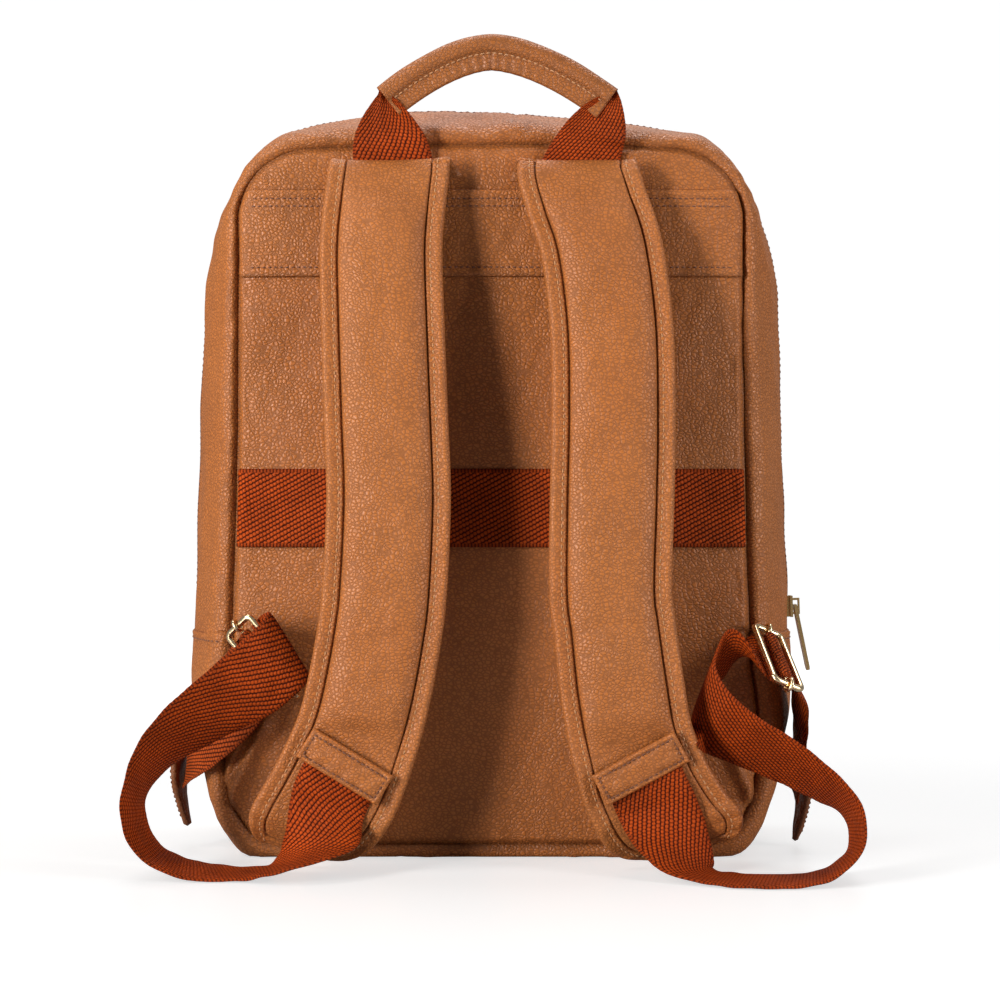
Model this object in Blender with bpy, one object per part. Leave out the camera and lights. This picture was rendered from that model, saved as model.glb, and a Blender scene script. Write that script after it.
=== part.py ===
"""Leather backpack: panels, gussets, zips, handle, padded straps, webbing and wire adjusters.

Metres, +Z up. The wearer's side faces -Y. The origin is the centre of the base, on the floor.
"""
import math

import bmesh
import bpy
import numpy as np

# ---- driving dimensions, metres -------------------------------------------------------------
HALF_DEPTH = 0.058          # rear seam to middle of the gusset
LEATHER = 0.0020            # main leather thickness
WEB_W, WEB_T = 0.038, 0.0016
GAP = 0.0003
HEM_Z = 0.111               # top of the lower side panels, where the zip ends
SPLIT_Z = 0.114             # the front panel folds open here
ZIP_Y = -0.0090             # middle of the main zip
TOOTH_W = 0.0016
ZIP_SLOT = 0.0014
TAPE_W = 0.0052
BACK_Y, BACK_BULGE = -0.0605, 0.0045
FRONT_Y, FRONT_BULGE = 0.0605, 0.0030
BAND_Z = (0.291, 0.333)
TROLLEY_Z = (0.156, 0.194)
SEAM_Z = 0.336              # handle webbing and straps are sewn in here
STRAP_W, PAD_W, PAD_RISE = 0.060, 0.043, 0.0050
HANDLE_Y, HANDLE_R, FLANGE_H, FLANGE_T = -0.070, 0.0050, 0.0080, 0.0034
HANDLE_END_Z, HANDLE_TOP_Z = 0.380, 0.405
POCKET_Z, POCKET_HALF = 0.262, 0.090
WIRE_R, FRAME_L, FRAME_S = 0.0016, 0.0430, 0.0165

# half outlines (x, z): bottom corner curve a, c1, c2, b; side to d; top corner d, e, f; crown
REAR = dict(a=(0.1040, 0.0065), c1=(0.1360, 0.0065), c2=(0.1385, 0.0550), b=(0.1300, 0.0980),
            d=(0.1265, 0.3200), e=(0.1255, 0.3550), f=(0.0890, 0.3550), top=0.3570, belly=-0.0015)
MID = dict(a=(0.1180, 0.0), c1=(0.1380, 0.0), c2=(0.1563, 0.0680), b=(0.1550, 0.1000),
           d=(0.1489, 0.2830), e=(0.1413, 0.3641), f=(0.1020, 0.3702), top=0.3810, belly=0.0003)
FRONT = dict(a=(0.1040, 0.0070), c1=(0.1360, 0.0070), c2=(0.1375, 0.0550), b=(0.1320, 0.0980),
             d=(0.1235, 0.3150), e=(0.1220, 0.3480), f=(0.0860, 0.3480), top=0.3500, belly=0.0)
SEGMENTS = (3, 8, 6, 6, 5)   # bottom, corner, side, corner, top


# ---- small helpers --------------------------------------------------------------------------
def unit(v):
    v = np.asarray(v, float)
    return v / np.linalg.norm(v)


def smooth(t):
    t = min(max(t, 0.0), 1.0)
    return t * t * (3 - 2 * t)


def clear_scene():
    for obj in list(bpy.data.objects):
        bpy.data.objects.remove(obj, do_unlink=True)


def material(name, color, rough=0.6, metal=0.0):
    mat = bpy.data.materials.new(name)
    mat.use_nodes = True
    shader = mat.node_tree.nodes["Principled BSDF"]
    shader.inputs["Base Color"].default_value = (*color, 1.0)
    shader.inputs["Roughness"].default_value = rough
    shader.inputs["Metallic"].default_value = metal
    mat.diffuse_color = (*color, 1.0)
    return mat


PALETTE = {
    "leather": ((0.42, 0.19, 0.085), 0.55, 0.0),
    "leather_dark": ((0.20, 0.07, 0.025), 0.6, 0.0),
    "webbing": ((0.30, 0.075, 0.018), 0.8, 0.0),
    "tape": ((0.22, 0.10, 0.05), 0.8, 0.0),
    "gold": ((0.75, 0.56, 0.33), 0.25, 1.0),
    "lining": ((0.20, 0.15, 0.11), 0.9, 0.0),
    "foam": ((0.30, 0.30, 0.30), 0.95, 0.0),
    "board": ((0.10, 0.09, 0.08), 0.7, 0.0),
}


def add(name, verts, faces, kind, origin=(0.0, 0.0, 0.0)):
    """A named mesh object with its own material and its origin on its joint's axis."""
    origin = np.asarray(origin, float)
    mesh = bpy.data.meshes.new(name)
    mesh.from_pydata([tuple(np.asarray(v) - origin) for v in verts], [], [tuple(f) for f in faces])
    bm = bmesh.new()
    bm.from_mesh(mesh)
    bmesh.ops.remove_doubles(bm, verts=bm.verts, dist=1e-6)
    bmesh.ops.recalc_face_normals(bm, faces=bm.faces)
    bm.to_mesh(mesh)
    bm.free()
    obj = bpy.data.objects.new(name, mesh)
    obj.location = tuple(origin)
    bpy.context.scene.collection.objects.link(obj)
    mesh.materials.append(material("mat_" + name, *PALETTE[kind]))
    return obj


def slab(outer, inner, wrap=False):
    """Closed mesh between two grids [row][column]; wrap closes the columns into a ring."""
    rows, cols = len(outer), len(outer[0])
    verts = [p for row in outer for p in row] + [p for row in inner for p in row]
    size = rows * cols
    faces = []
    last = cols if wrap else cols - 1
    for r in range(rows - 1):
        for c in range(last):
            n = (c + 1) % cols
            faces.append((r * cols + c, r * cols + n, (r + 1) * cols + n, (r + 1) * cols + c))
            faces.append(tuple(size + k for k in reversed(faces[-1])))
    for r in (0, rows - 1):
        for c in range(last):
            n = (c + 1) % cols
            faces.append((r * cols + c, r * cols + n, size + r * cols + n, size + r * cols + c))
    if not wrap:
        for c in (0, cols - 1):
            for r in range(rows - 1):
                a, b = r * cols + c, (r + 1) * cols + c
                faces.append((a, b, size + b, size + a))
    return verts, faces


def tube(rings):
    """Closed sweep of rings with flat caps."""
    n = len(rings[0])
    verts = [p for ring in rings for p in ring]
    faces = []
    for r in range(len(rings) - 1):
        for c in range(n):
            d = (c + 1) % n
            faces.append((r * n + c, r * n + d, (r + 1) * n + d, (r + 1) * n + c))
    faces.append(tuple(range(n))[::-1])
    faces.append(tuple(range((len(rings) - 1) * n, len(rings) * n)))
    return verts, faces


def torus_sweep(rings):
    """Sweep that closes on itself."""
    n, m = len(rings[0]), len(rings)
    verts = [p for ring in rings for p in ring]
    faces = []
    for r in range(m):
        s = (r + 1) % m
        for c in range(n):
            d = (c + 1) % n
            faces.append((r * n + c, r * n + d, s * n + d, s * n + c))
    return verts, faces


def prism(profile, base, ax, ay, along, length):
    """Extrude a closed 2-D profile along a direction, centred on base."""
    base, ax, ay, along = (np.asarray(v, float) for v in (base, ax, ay, along))
    ends = []
    for side in (-0.5, 0.5):
        ends.append([base + ax * p + ay * q + along * length * side for p, q in profile])
    return tube(ends)


def boolean(obj, other, operation):
    """Join or cut with another object, then drop that object."""
    mod = obj.modifiers.new("bool", "BOOLEAN")
    mod.operation = operation
    mod.solver = "EXACT"
    mod.object = other
    bpy.context.view_layer.update()
    graph = bpy.context.evaluated_depsgraph_get()
    mesh = bpy.data.meshes.new_from_object(obj.evaluated_get(graph))
    obj.modifiers.remove(mod)
    mats = [m for m in obj.data.materials]
    obj.data = mesh
    mesh.materials.clear()
    mesh.materials.append(mats[0])
    for poly in mesh.polygons:
        poly.material_index = 0
    bpy.data.objects.remove(other, do_unlink=True)
    return obj


def spline(points, count):
    """Catmull-Rom through the points, as count + 1 even parameter steps."""
    pts = np.asarray(points, float)
    ext = np.vstack([2 * pts[0] - pts[1], pts, 2 * pts[-1] - pts[-2]])
    out = []
    for k in range(count + 1):
        t = k / count * (len(pts) - 1)
        i = min(int(t), len(pts) - 2)
        f = t - i
        p0, p1, p2, p3 = ext[i:i + 4]
        out.append(0.5 * (2 * p1 + (p2 - p0) * f + (2 * p0 - 5 * p1 + 4 * p2 - p3) * f * f
                          + (3 * p1 - p0 - 3 * p2 + p3) * f ** 3))
    return np.array(out)


# ---- the bag's outer surface ----------------------------------------------------------------
def half_outline(k, u):
    """Point (x, z) on a half outline: u runs 0 to 5 from the bottom centre to the top centre."""
    seg, t = min(int(u), 4), u - min(int(u), 4)
    a, b, d, e, f = (np.array(k[n]) for n in "abdef")
    if seg == 0:
        return np.array([a[0] * t, a[1]])
    if seg == 1:
        c1, c2 = np.array(k["c1"]), np.array(k["c2"])
        r = 1 - t
        return a * r ** 3 + c1 * 3 * r * r * t + c2 * 3 * r * t * t + b * t ** 3
    if seg == 2:
        return b + (d - b) * t + np.array([k["belly"] * 4 * t * (1 - t), 0.0])
    if seg == 3:
        ang = t * math.pi / 2
        return e + (d - e) * (1 - math.sin(ang)) + (f - e) * (1 - math.cos(ang))
    x = f[0] * (1 - t)
    return np.array([x, k["top"] - (k["top"] - f[1]) * (x / f[0]) ** 2])


def shell(u, ang):
    """Point on the bag: signed u picks the side, ang runs 0 (rear seam) to pi (front seam)."""
    side, u = (1.0, u) if u >= 0 else (-1.0, -u)
    edge = half_outline(REAR if ang < math.pi / 2 else FRONT, u)
    mid = half_outline(MID, u)
    w = math.sin(ang)
    flat = min(1.0, w / 0.6)
    k = smooth(u - 1.0)
    w = flat * (1 - k) + w * k
    p = edge + (mid - edge) * w
    return np.array([side * p[0], -HALF_DEPTH * math.cos(ang), p[1]])


def shell_point(u, ang, out=0.0):
    p = shell(u, ang)
    if not out:
        return p
    e = 1e-4
    lo, hi = max(ang - e, 0.0), min(ang + e, math.pi)
    du = shell(u + e, ang) - shell(u - e, ang) if 0.001 < abs(u) < 4.999 else np.array([1.0, 0, 0])
    n = unit(np.cross(du, shell(u, hi) - shell(u, lo)))
    centre = np.array([0.0, 0.0, 0.19])
    if np.dot(n, (p - centre) * np.array([1.0, 1.0, 1.0])) < 0:
        n = -n
    return p + n * out


def angle_at(y):
    return math.acos(max(-1.0, min(1.0, -y / HALF_DEPTH)))


def u_at(z):
    """Side-segment u whose middle outline is at height z."""
    return 2.0 + (z - MID["b"][1]) / (MID["d"][1] - MID["b"][1])


def steps(u0, u1):
    """Signed u values from u0 (right side) over the top to u1 (left side), or along one side."""
    def between(lo, hi):
        vals = [lo]
        for seg in range(5):
            for i in range(SEGMENTS[seg] + 1):
                v = seg + i / SEGMENTS[seg]
                if lo + 0.02 < v < hi - 0.02 and v - vals[-1] > 0.02:
                    vals.append(v)
        return vals + [hi]
    if u0 > 0 > u1:
        return between(u0, 5.0) + [-v for v in reversed(between(-u1, 5.0))][1:]
    return between(u0, u1)


def strip(name, us, y0, y1, rows, kind, out=0.0, thick=LEATHER, origin=(0, 0, 0), rib=0.0):
    angs = np.linspace(angle_at(y0), angle_at(y1), rows + 1)
    outer, inner = [], []
    for i, u in enumerate(us):
        lift = rib if i % 2 else 0.0
        outer.append([shell_point(u, a, out + lift) for a in angs])
        inner.append([shell_point(u, a, out - thick) for a in angs])
    return add(name, *slab(outer, inner), kind, origin)


def ring_u():
    """Signed u values once round the whole outline."""
    right = steps(0.0, 5.0)
    return right + [-v for v in reversed(right)][1:-1]


# ---- back and front panels ------------------------------------------------------------------
CENTRE = np.array([0.0, 0.18])


class Panel:
    """A bulging panel whose edge follows a rear or front seam outline."""

    def __init__(self, outline, y, bulge, side, power):
        self.outline, self.y, self.bulge, self.side, self.power = outline, y, bulge, side, power
        pts = [half_outline(outline, u) for u in np.linspace(0, 5, 400)]
        ang = [math.atan2(p[0], p[1] - CENTRE[1]) for p in pts][::-1]
        rad = [math.hypot(p[0], p[1] - CENTRE[1]) for p in pts][::-1]
        self.ang, self.rad = np.array(ang), np.array(rad)

    def reach(self, x, z):
        a = math.atan2(abs(x), z - CENTRE[1])
        return math.hypot(x, z - CENTRE[1]) / float(np.interp(a, self.ang, self.rad))

    def surface(self, x, z):
        r = min(self.reach(x, z), 1.0)
        return self.y + self.side * self.bulge * (1 - r ** self.power) ** 0.7

    def half_width(self, z):
        lo, hi = 0.0, 0.2
        for _ in range(40):
            m = (lo + hi) / 2
            lo, hi = (m, hi) if self.reach(m, z) < 1 else (lo, m)
        return lo

    def disc(self, name, inset, depth, thick, kind, rings=5, origin=(0, 0, 0)):
        """Sheet parallel to the surface: depth below it, inset from the seam."""
        us = ring_u()
        rim = []
        for u in us:
            p = half_outline(self.outline, abs(u))
            p = np.array([p[0] * (1 if u >= 0 else -1), p[1]])
            d = p - CENTRE
            rim.append(CENTRE + d * (1 - inset / np.linalg.norm(d)))
        layers = []
        for t in (depth, depth + thick):
            rows = []
            for k in range(rings, 0, -1):
                f = (k / rings) ** 0.6
                row = []
                for p in rim:
                    q = CENTRE + (p - CENTRE) * f
                    row.append(np.array([q[0], self.surface(*q) - self.side * t, q[1]]))
                rows.append(row)
            layers.append(rows)
        n = len(rim)
        verts, faces = slab(layers[0], layers[1], wrap=True)
        total = rings * n
        inner_ring = (rings - 1) * n
        faces = [f for f in faces if not all(v % total >= inner_ring for v in f)]
        for s, t in ((0, depth), (total, depth + thick)):
            verts.append(np.array([CENTRE[0], self.surface(*CENTRE) - self.side * t, CENTRE[1]]))
            c = len(verts) - 1
            for k in range(n):
                faces.append((s + inner_ring + k, s + inner_ring + (k + 1) % n, c))
        return add(name, verts, faces, kind, origin)

    def patch(self, name, z0, z1, share, lift, thick, kind, cols=24, rows=4):
        """Sheet lying on the panel from one side seam to the other."""
        outer, inner = [], []
        for z in np.linspace(z0, z1, rows + 1):
            w = self.half_width(z) * share
            line = [w * c for c in np.linspace(-1, 1, cols + 1)]
            inner.append([np.array([x, self.surface(x, z) + self.side * lift, z]) for x in line])
            outer.append([p + np.array([0, self.side * thick, 0]) for p in inner[-1]])
        return add(name, *slab(outer, inner), kind)


def clip(obj, z, keep_above):
    """Cut a closed mesh flat at height z and close the cut."""
    bm = bmesh.new()
    bm.from_mesh(obj.data)
    geom = bm.verts[:] + bm.edges[:] + bm.faces[:]
    local = z - obj.location.z
    bmesh.ops.bisect_plane(bm, geom=geom, dist=1e-7, plane_co=(0, 0, local), plane_no=(0, 0, 1),
                           clear_inner=keep_above, clear_outer=not keep_above)
    edges = [e for e in bm.edges if len(e.link_faces) == 1]
    bmesh.ops.contextual_create(bm, geom=edges)
    bmesh.ops.recalc_face_normals(bm, faces=bm.faces)
    bmesh.ops.triangulate(bm, faces=[f for f in bm.faces if len(f.verts) > 4])
    bm.to_mesh(obj.data)
    bm.free()
    return obj


BACK = Panel(REAR, BACK_Y, BACK_BULGE, -1, 4)
FRONT_P = Panel(FRONT, FRONT_Y, FRONT_BULGE, 1, 6)
HINGE = np.array([0.0, 0.0665, SPLIT_Z + 0.0004])


def box(name, lo, hi, kind, origin=(0, 0, 0)):
    c = (np.array(lo) + np.array(hi)) / 2
    h = (np.array(hi) - np.array(lo)) / 2
    profile = [(-h[0], -h[1]), (h[0], -h[1]), (h[0], h[1]), (-h[0], h[1])]
    return add(name, *prism(profile, c, (1, 0, 0), (0, 1, 0), (0, 0, 1), 2 * h[2]), kind, origin)


def build_bag():
    hem = u_at(HEM_Z)
    over = steps(hem + 0.004, -(hem + 0.004))
    BACK.disc("back_panel", 0.0004, 0.0, 0.0022, "leather", rings=6)
    BACK.disc("back_foam", 0.0080, 0.0025, 0.0036, "foam", rings=3)
    BACK.disc("back_lining", 0.0060, 0.0064, 0.0008, "lining", rings=3)
    BACK.patch("upper_band", *BAND_Z, 0.985, GAP, 0.0016, "leather", cols=28)
    BACK.patch("trolley_strap", *TROLLEY_Z, 0.985, GAP, WEB_T, "webbing", cols=28)
    strip("rear_gusset", over, -0.0577, ZIP_Y - 0.0085, 6, "leather")
    inner, outer = ZIP_SLOT / 2, ZIP_SLOT / 2 + TOOTH_W
    tape = outer + GAP
    strip("rear_zip_tape", over, ZIP_Y - tape - TAPE_W, ZIP_Y - tape, 1, "tape", -0.0006, 0.0009)
    fine = steps(hem + 0.004, -(hem + 0.004))
    fine = sorted(set(np.interp(np.linspace(0, len(fine) - 1, 3 * len(fine)),
                                range(len(fine)), [v if v > 0 else 10 + v for v in fine])))
    fine = [v if v <= 5 else v - 10 for v in fine]
    strip("rear_zip_teeth", fine, ZIP_Y - outer, ZIP_Y - inner, 1, "gold", 0.0002, 0.0018, rib=0.0004)
    strip("front_zip_teeth", fine, ZIP_Y + inner, ZIP_Y + outer, 1, "gold", 0.0002, 0.0018,
          origin=HINGE, rib=0.0004)
    strip("front_zip_tape", over, ZIP_Y + tape, ZIP_Y + tape + TAPE_W, 1, "tape", -0.0006, 0.0009,
          origin=HINGE)
    strip("front_gusset", over, ZIP_Y + tape + TAPE_W + GAP, 0.0577, 7, "leather", origin=HINGE)
    side = steps(1.25, hem - 0.004)
    strip("side_panel_right", side, -0.0577, 0.0577, 10, "leather")
    strip("side_panel_left", [-u for u in side], -0.0577, 0.0577, 10, "leather")
    base = [-u for u in reversed(steps(0.0, 1.24))][:-1] + steps(0.0, 1.24)
    strip("bottom_panel", base, -0.0577, 0.0577, 10, "leather")
    box("base_board", (-0.110, -0.043, 0.0026), (0.110, 0.043, 0.0050), "board")
    FRONT_P.disc("front_panel_lower", 0.0004, 0.0, LEATHER, "leather")
    clip(bpy.data.objects["front_panel_lower"], SPLIT_Z, False)
    upper = FRONT_P.disc("front_panel_upper", 0.0004, 0.0, LEATHER, "leather", origin=HINGE)
    clip(upper, SPLIT_Z + 0.0008, True)
    cutter = box("cutter", (-POCKET_HALF, 0.050, POCKET_Z - 0.0055),
                 (POCKET_HALF, 0.080, POCKET_Z + 0.0055), "board")
    boolean(upper, cutter, "DIFFERENCE")
    half, ys, ye = 0.112, -0.0440, -0.0360
    wall = 0.0015
    profile = [(-half, ys - 0.0020), (-half + wall, ys - 0.0020), (-half + wall, ye - wall),
               (half - wall, ye - wall), (half - wall, ys - 0.0020), (half, ys - 0.0020),
               (half, ye), (-half, ye)]
    add("laptop_sleeve", *prism(profile, (0, 0, 0.1375), (1, 0, 0), (0, 1, 0), (0, 0, 1), 0.225),
        "lining")


def build_pocket():
    y = FRONT_P.surface(0, POCKET_Z) - 0.0016
    lim = POCKET_HALF - GAP
    z0 = POCKET_Z

    def bar(name, za, zb, ya, yb, kind, half=lim):
        return box(name, (-half, ya, za), (half, yb, zb), kind, origin=HINGE)
    bar("pocket_tape_upper", z0 + 0.0026, z0 + 0.0052, y, y + 0.0009, "tape")
    bar("pocket_tape_lower", z0 - 0.0052, z0 - 0.0026, y, y + 0.0009, "tape")
    bar("pocket_teeth_upper", z0 + 0.0007, z0 + 0.0023, y, y + 0.0014, "gold")
    bar("pocket_teeth_lower", z0 - 0.0023, z0 - 0.0007, y, y + 0.0014, "gold")
    wall = 0.0008
    top, low, ya, yb = z0 - 0.0060, z0 - 0.110, 0.0480, 0.0540
    profile = [(ya, top), (ya, low), (yb, low), (yb, top), (yb - wall, top), (yb - wall, low + wall),
               (ya + wall, low + wall), (ya + wall, top)]
    add("pocket_bag", *prism(profile, (0, 0, 0), (0, 1, 0), (0, 0, 1), (1, 0, 0), 0.176),
        "lining", origin=HINGE)
    centre = np.array([POCKET_HALF - 0.012, y + 0.0007, z0])
    pivot = slider_and_pull("pocket", centre, np.array([1.0, 0, 0]), np.array([0, 0, 1.0]),
                    np.array([0, 1.0, 0]), 0.0007, 0.0007, np.array([0, 0, -1.0]), 0.026, 0.10)
    print("pocket pivot", pivot)


def slider_and_pull(name, centre, along, across, out, up, down, hang, length, tilt):
    """Slider that holds both tooth rows, with an arch, and the flat pull hooked in the arch."""
    clear, plate, half, neck = 0.0010, 0.0013, 0.0044, 0.0004
    hi, lo = up + clear, down + clear
    profile = [(-half, hi), (-half, hi + plate), (half, hi + plate), (half, hi), (neck, hi),
               (neck, -lo), (half, -lo), (half, -lo - plate), (-half, -lo - plate), (-half, -lo),
               (-neck, -lo), (-neck, hi)]
    body = add(name + "_slider", *prism(profile, centre, across, out, along, 0.011), "gold", centre)
    roof, leg, reach, tall, wide = 0.0009, 0.0011, 0.0042, 0.0030, 0.0024
    base = hi + plate
    arch = [(-reach, base - 0.0004), (-reach, base + tall + roof), (reach, base + tall + roof),
            (reach, base - 0.0004), (reach - leg, base - 0.0004), (reach - leg, base + tall),
            (-reach + leg, base + tall), (-reach + leg, base - 0.0004)]
    loop = add("arch", *prism(arch, centre, hang, out, np.cross(hang, out), wide), "gold")
    boolean(body, loop, "UNION")
    pivot = centre + out * (base + tall / 2)
    hang_side = unit(np.cross(hang, out))
    lean = unit(hang * math.cos(tilt) + out * math.sin(tilt))
    face = unit(np.cross(lean, hang_side))
    w, t, eye = 0.0040, 0.0016, 0.0018
    top, sill = 0.0008, 0.0072
    outer = [(-w, -top), (w, -top), (w, length - 0.002), (w - 0.002, length), (-w + 0.002, length),
             (-w, length - 0.002)]
    pull = add(name + "_pull", *prism(outer, pivot, hang_side, lean, face, t), "gold", pivot)
    hole = [(-eye, top), (eye, top), (eye, sill), (-eye, sill)]
    boolean(pull, add("eye", *prism(hole, pivot, hang_side, lean, face, 0.01), "gold"), "DIFFERENCE")
    return pivot


def build_main_slider():
    u = u_at(0.1235)
    ang = angle_at(ZIP_Y)
    centre = shell_point(u, ang, -0.0005)
    end = shell_point(u_at(0.1235 + 0.12), ang, -0.0005)
    along = unit(end - centre)
    across = np.array([0.0, 1.0, 0.0])
    out = unit(np.cross(across, along))
    pivot = slider_and_pull("main", centre, along, across, out, 0.0011, 0.0011, -along, 0.034, 0.17)
    print("main slider", centre, "along", along, "pull pivot", pivot)


# ---- handle ---------------------------------------------------------------------------------
def handle_path(count=22):
    pts = []
    x0, x1 = -0.0535, 0.0600
    for k in range(count + 1):
        s = -1 + 2 * k / count
        x = (x0 + x1) / 2 + math.copysign(abs(s) ** 0.9, s) * (x1 - x0) / 2
        z = HANDLE_TOP_Z - (HANDLE_TOP_Z - HANDLE_END_Z) * (abs(x) / (0.0530 if x < 0 else 0.0580)) ** 1.7
        pts.append(np.array([x, HANDLE_Y, z]))
    return pts


def build_handle():
    pts = handle_path()
    origin = np.array([0.00325, HANDLE_Y, HANDLE_END_Z])
    y = np.array([0.0, 1.0, 0.0])
    outer, inner, core = [], [], []
    for i, p in enumerate(pts):
        a, b = pts[max(i - 1, 0)], pts[min(i + 1, len(pts) - 1)]
        t = np.array([1.0, 0, 0]) if i in (0, len(pts) - 1) else unit(b - a)
        up = unit(np.cross(t, y)) if np.cross(t, y)[2] > 0 else -unit(np.cross(t, y))
        ring, hole = [], []
        for k in range(16):
            ang = math.pi * (-0.25 + 1.5 * k / 11) if k < 12 else None
            if ang is not None:
                ring.append(p + y * HANDLE_R * math.cos(ang) + up * HANDLE_R * math.sin(ang))
            else:
                m = k - 12
                side = -1 if m < 2 else 1
                drop = HANDLE_R * 0.95 if m in (0, 3) else HANDLE_R * 0.7 + FLANGE_H
                ring.append(p + y * side * FLANGE_T / 2 - up * drop)
            c = 2 * math.pi * (k - 1.4) / 16
            hole.append(p + y * 0.0031 * math.cos(c) + up * 0.0031 * math.sin(c))
        outer.append(ring)
        inner.append(hole)
        core.append([p + y * 0.0028 * math.cos(2 * math.pi * k / 12)
                     + up * 0.0028 * math.sin(2 * math.pi * k / 12) for k in range(12)])
    add("handle_grip", *slab(outer, inner, wrap=True), "leather", origin)
    core[0] = [q + np.array([0.0004, 0, 0]) for q in core[0]]
    core[-1] = [q - np.array([0.0004, 0, 0]) for q in core[-1]]
    add("handle_core", *tube(core), "webbing", origin)


def ribbon(rows, count, floor=False, front=None):
    """Webbing through rows of (centre, across, width, thickness)."""
    data = np.array([[*c, *unit(a), w, t] for c, a, w, t in rows])
    data = spline(data, count)
    outer, inner = [], []
    for i, row in enumerate(data):
        c, a, w, t = row[:3], unit(row[3:6]), row[6], row[7]
        tan = data[min(i + 1, len(data) - 1), :3] - data[max(i - 1, 0), :3]
        n = unit(np.cross(tan, a))
        line = [c + a * w * s for s in (-0.5, -0.17, 0.17, 0.5)]
        outer.append([p + n * t / 2 for p in line])
        inner.append([p - n * t / 2 for p in line])
    if front:
        for top, low in zip(outer, inner):
            for a, b in zip(top, low):
                mid = (a + b) / 2
                push = max(a[1], b[1]) - front(mid[0], mid[2]) + GAP
                if push > 0:
                    a[1] -= push
                    b[1] -= push
    if floor:
        for top, low in zip(outer, inner):
            for k in range(4):
                a, b = top[k], low[k]
                under = min(a[2], b[2])
                if under < 0.0002:
                    a[2] += 0.0002 - under
                    b[2] += 0.0002 - under
    return slab(outer, inner)


def build_handle_webbing():
    for side, cx, end in ((-1, -0.0490, -0.0535), (1, 0.0440, 0.0600)):
        x = (1, 0, 0)
        rows = [((cx, -0.0637, 0.3345), x, 0.038, WEB_T),
                ((cx, -0.0640, 0.3450), x, 0.037, WEB_T),
                ((cx + side * 0.003, -0.0660, 0.3560), x, 0.030, WEB_T),
                ((end + side * 0.0070, -0.0685, 0.3640), x, 0.018, 0.0026),
                ((end + side * 0.0078, -0.0700, 0.3718), (1, 0, 0.1 * side), 0.0110, 0.0050),
                ((end + side * 0.0062, -0.0700, 0.3795), (1, 0, 0.4 * side), 0.0080, 0.0056)]
        add("handle_webbing_" + ("left" if side < 0 else "right"), *ribbon(rows, 16), "webbing")


# ---- shoulder straps ------------------------------------------------------------------------
# rows from the root seam to the tip: centre, direction across, width
SIDEWAYS = (1.0, 0.0, 0.0)
STRAPS = {
    "left": [((-0.0500, -0.0668, 0.3350), SIDEWAYS, 0.060), ((-0.0500, -0.0668, 0.3405), SIDEWAYS, 0.060),
             ((-0.0500, -0.0715, 0.3455), SIDEWAYS, 0.060), ((-0.0505, -0.0762, 0.3400), SIDEWAYS, 0.060),
             ((-0.0520, -0.0795, 0.3260), SIDEWAYS, 0.060), ((-0.0536, -0.0865, 0.3011), SIDEWAYS, 0.060),
             ((-0.0523, -0.0940, 0.2615), SIDEWAYS, 0.060), ((-0.0505, -0.1000, 0.2176), SIDEWAYS, 0.060),
             ((-0.0491, -0.1040, 0.1790), SIDEWAYS, 0.060), ((-0.0509, -0.1070, 0.1358), SIDEWAYS, 0.060),
             ((-0.0534, -0.1070, 0.1146), SIDEWAYS, 0.060), ((-0.0581, -0.1070, 0.0888), (1, 0, -0.03), 0.060),
             ((-0.0630, -0.1072, 0.0694), (1, 0, -0.07), 0.060), ((-0.0704, -0.1075, 0.0496), (0.99, -0.02, -0.12), 0.062),
             ((-0.0772, -0.1060, 0.0351), (0.99, -0.03, -0.13), 0.063), ((-0.0850, -0.1030, 0.0233), (0.99, -0.04, -0.11), 0.061),
             ((-0.0914, -0.0995, 0.0168), (0.99, -0.04, -0.11), 0.055), ((-0.0962, -0.0962, 0.0130), (0.99, -0.03, -0.12), 0.044),
             ((-0.0990, -0.0935, 0.0108), (0.99, 0.0, -0.12), 0.030)],
    "right": [((0.0430, -0.0668, 0.3350), SIDEWAYS, 0.060), ((0.0430, -0.0668, 0.3405), SIDEWAYS, 0.060),
              ((0.0430, -0.0715, 0.3455), SIDEWAYS, 0.060), ((0.0432, -0.0765, 0.3395), SIDEWAYS, 0.060),
              ((0.0470, -0.0795, 0.3260), SIDEWAYS, 0.060), ((0.0543, -0.0865, 0.3011), SIDEWAYS, 0.060),
              ((0.0588, -0.0940, 0.2615), SIDEWAYS, 0.060), ((0.0593, -0.1000, 0.2176), SIDEWAYS, 0.060),
              ((0.0584, -0.1040, 0.1790), SIDEWAYS, 0.060), ((0.0575, -0.1070, 0.1358), SIDEWAYS, 0.059),
              ((0.0597, -0.1070, 0.1162), SIDEWAYS, 0.059), ((0.0631, -0.1070, 0.0888), SIDEWAYS, 0.060),
              ((0.0667, -0.1072, 0.0678), (1, 0.01, 0.04), 0.060), ((0.0723, -0.1075, 0.0487), (1, 0.02, 0.08), 0.062),
              ((0.0778, -0.1060, 0.0360), (1, 0.03, 0.06), 0.064), ((0.0851, -0.1030, 0.0240), (1, 0.04, 0.05), 0.065),
              ((0.0925, -0.0995, 0.0175), (1, 0.03, 0.05), 0.062), ((0.0982, -0.0962, 0.0137), (1, 0.02, 0.06), 0.051),
              ((0.1022, -0.0935, 0.0115), (1, 0.0, 0.09), 0.036)],
}
PIVOT_Z = 0.3460


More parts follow.
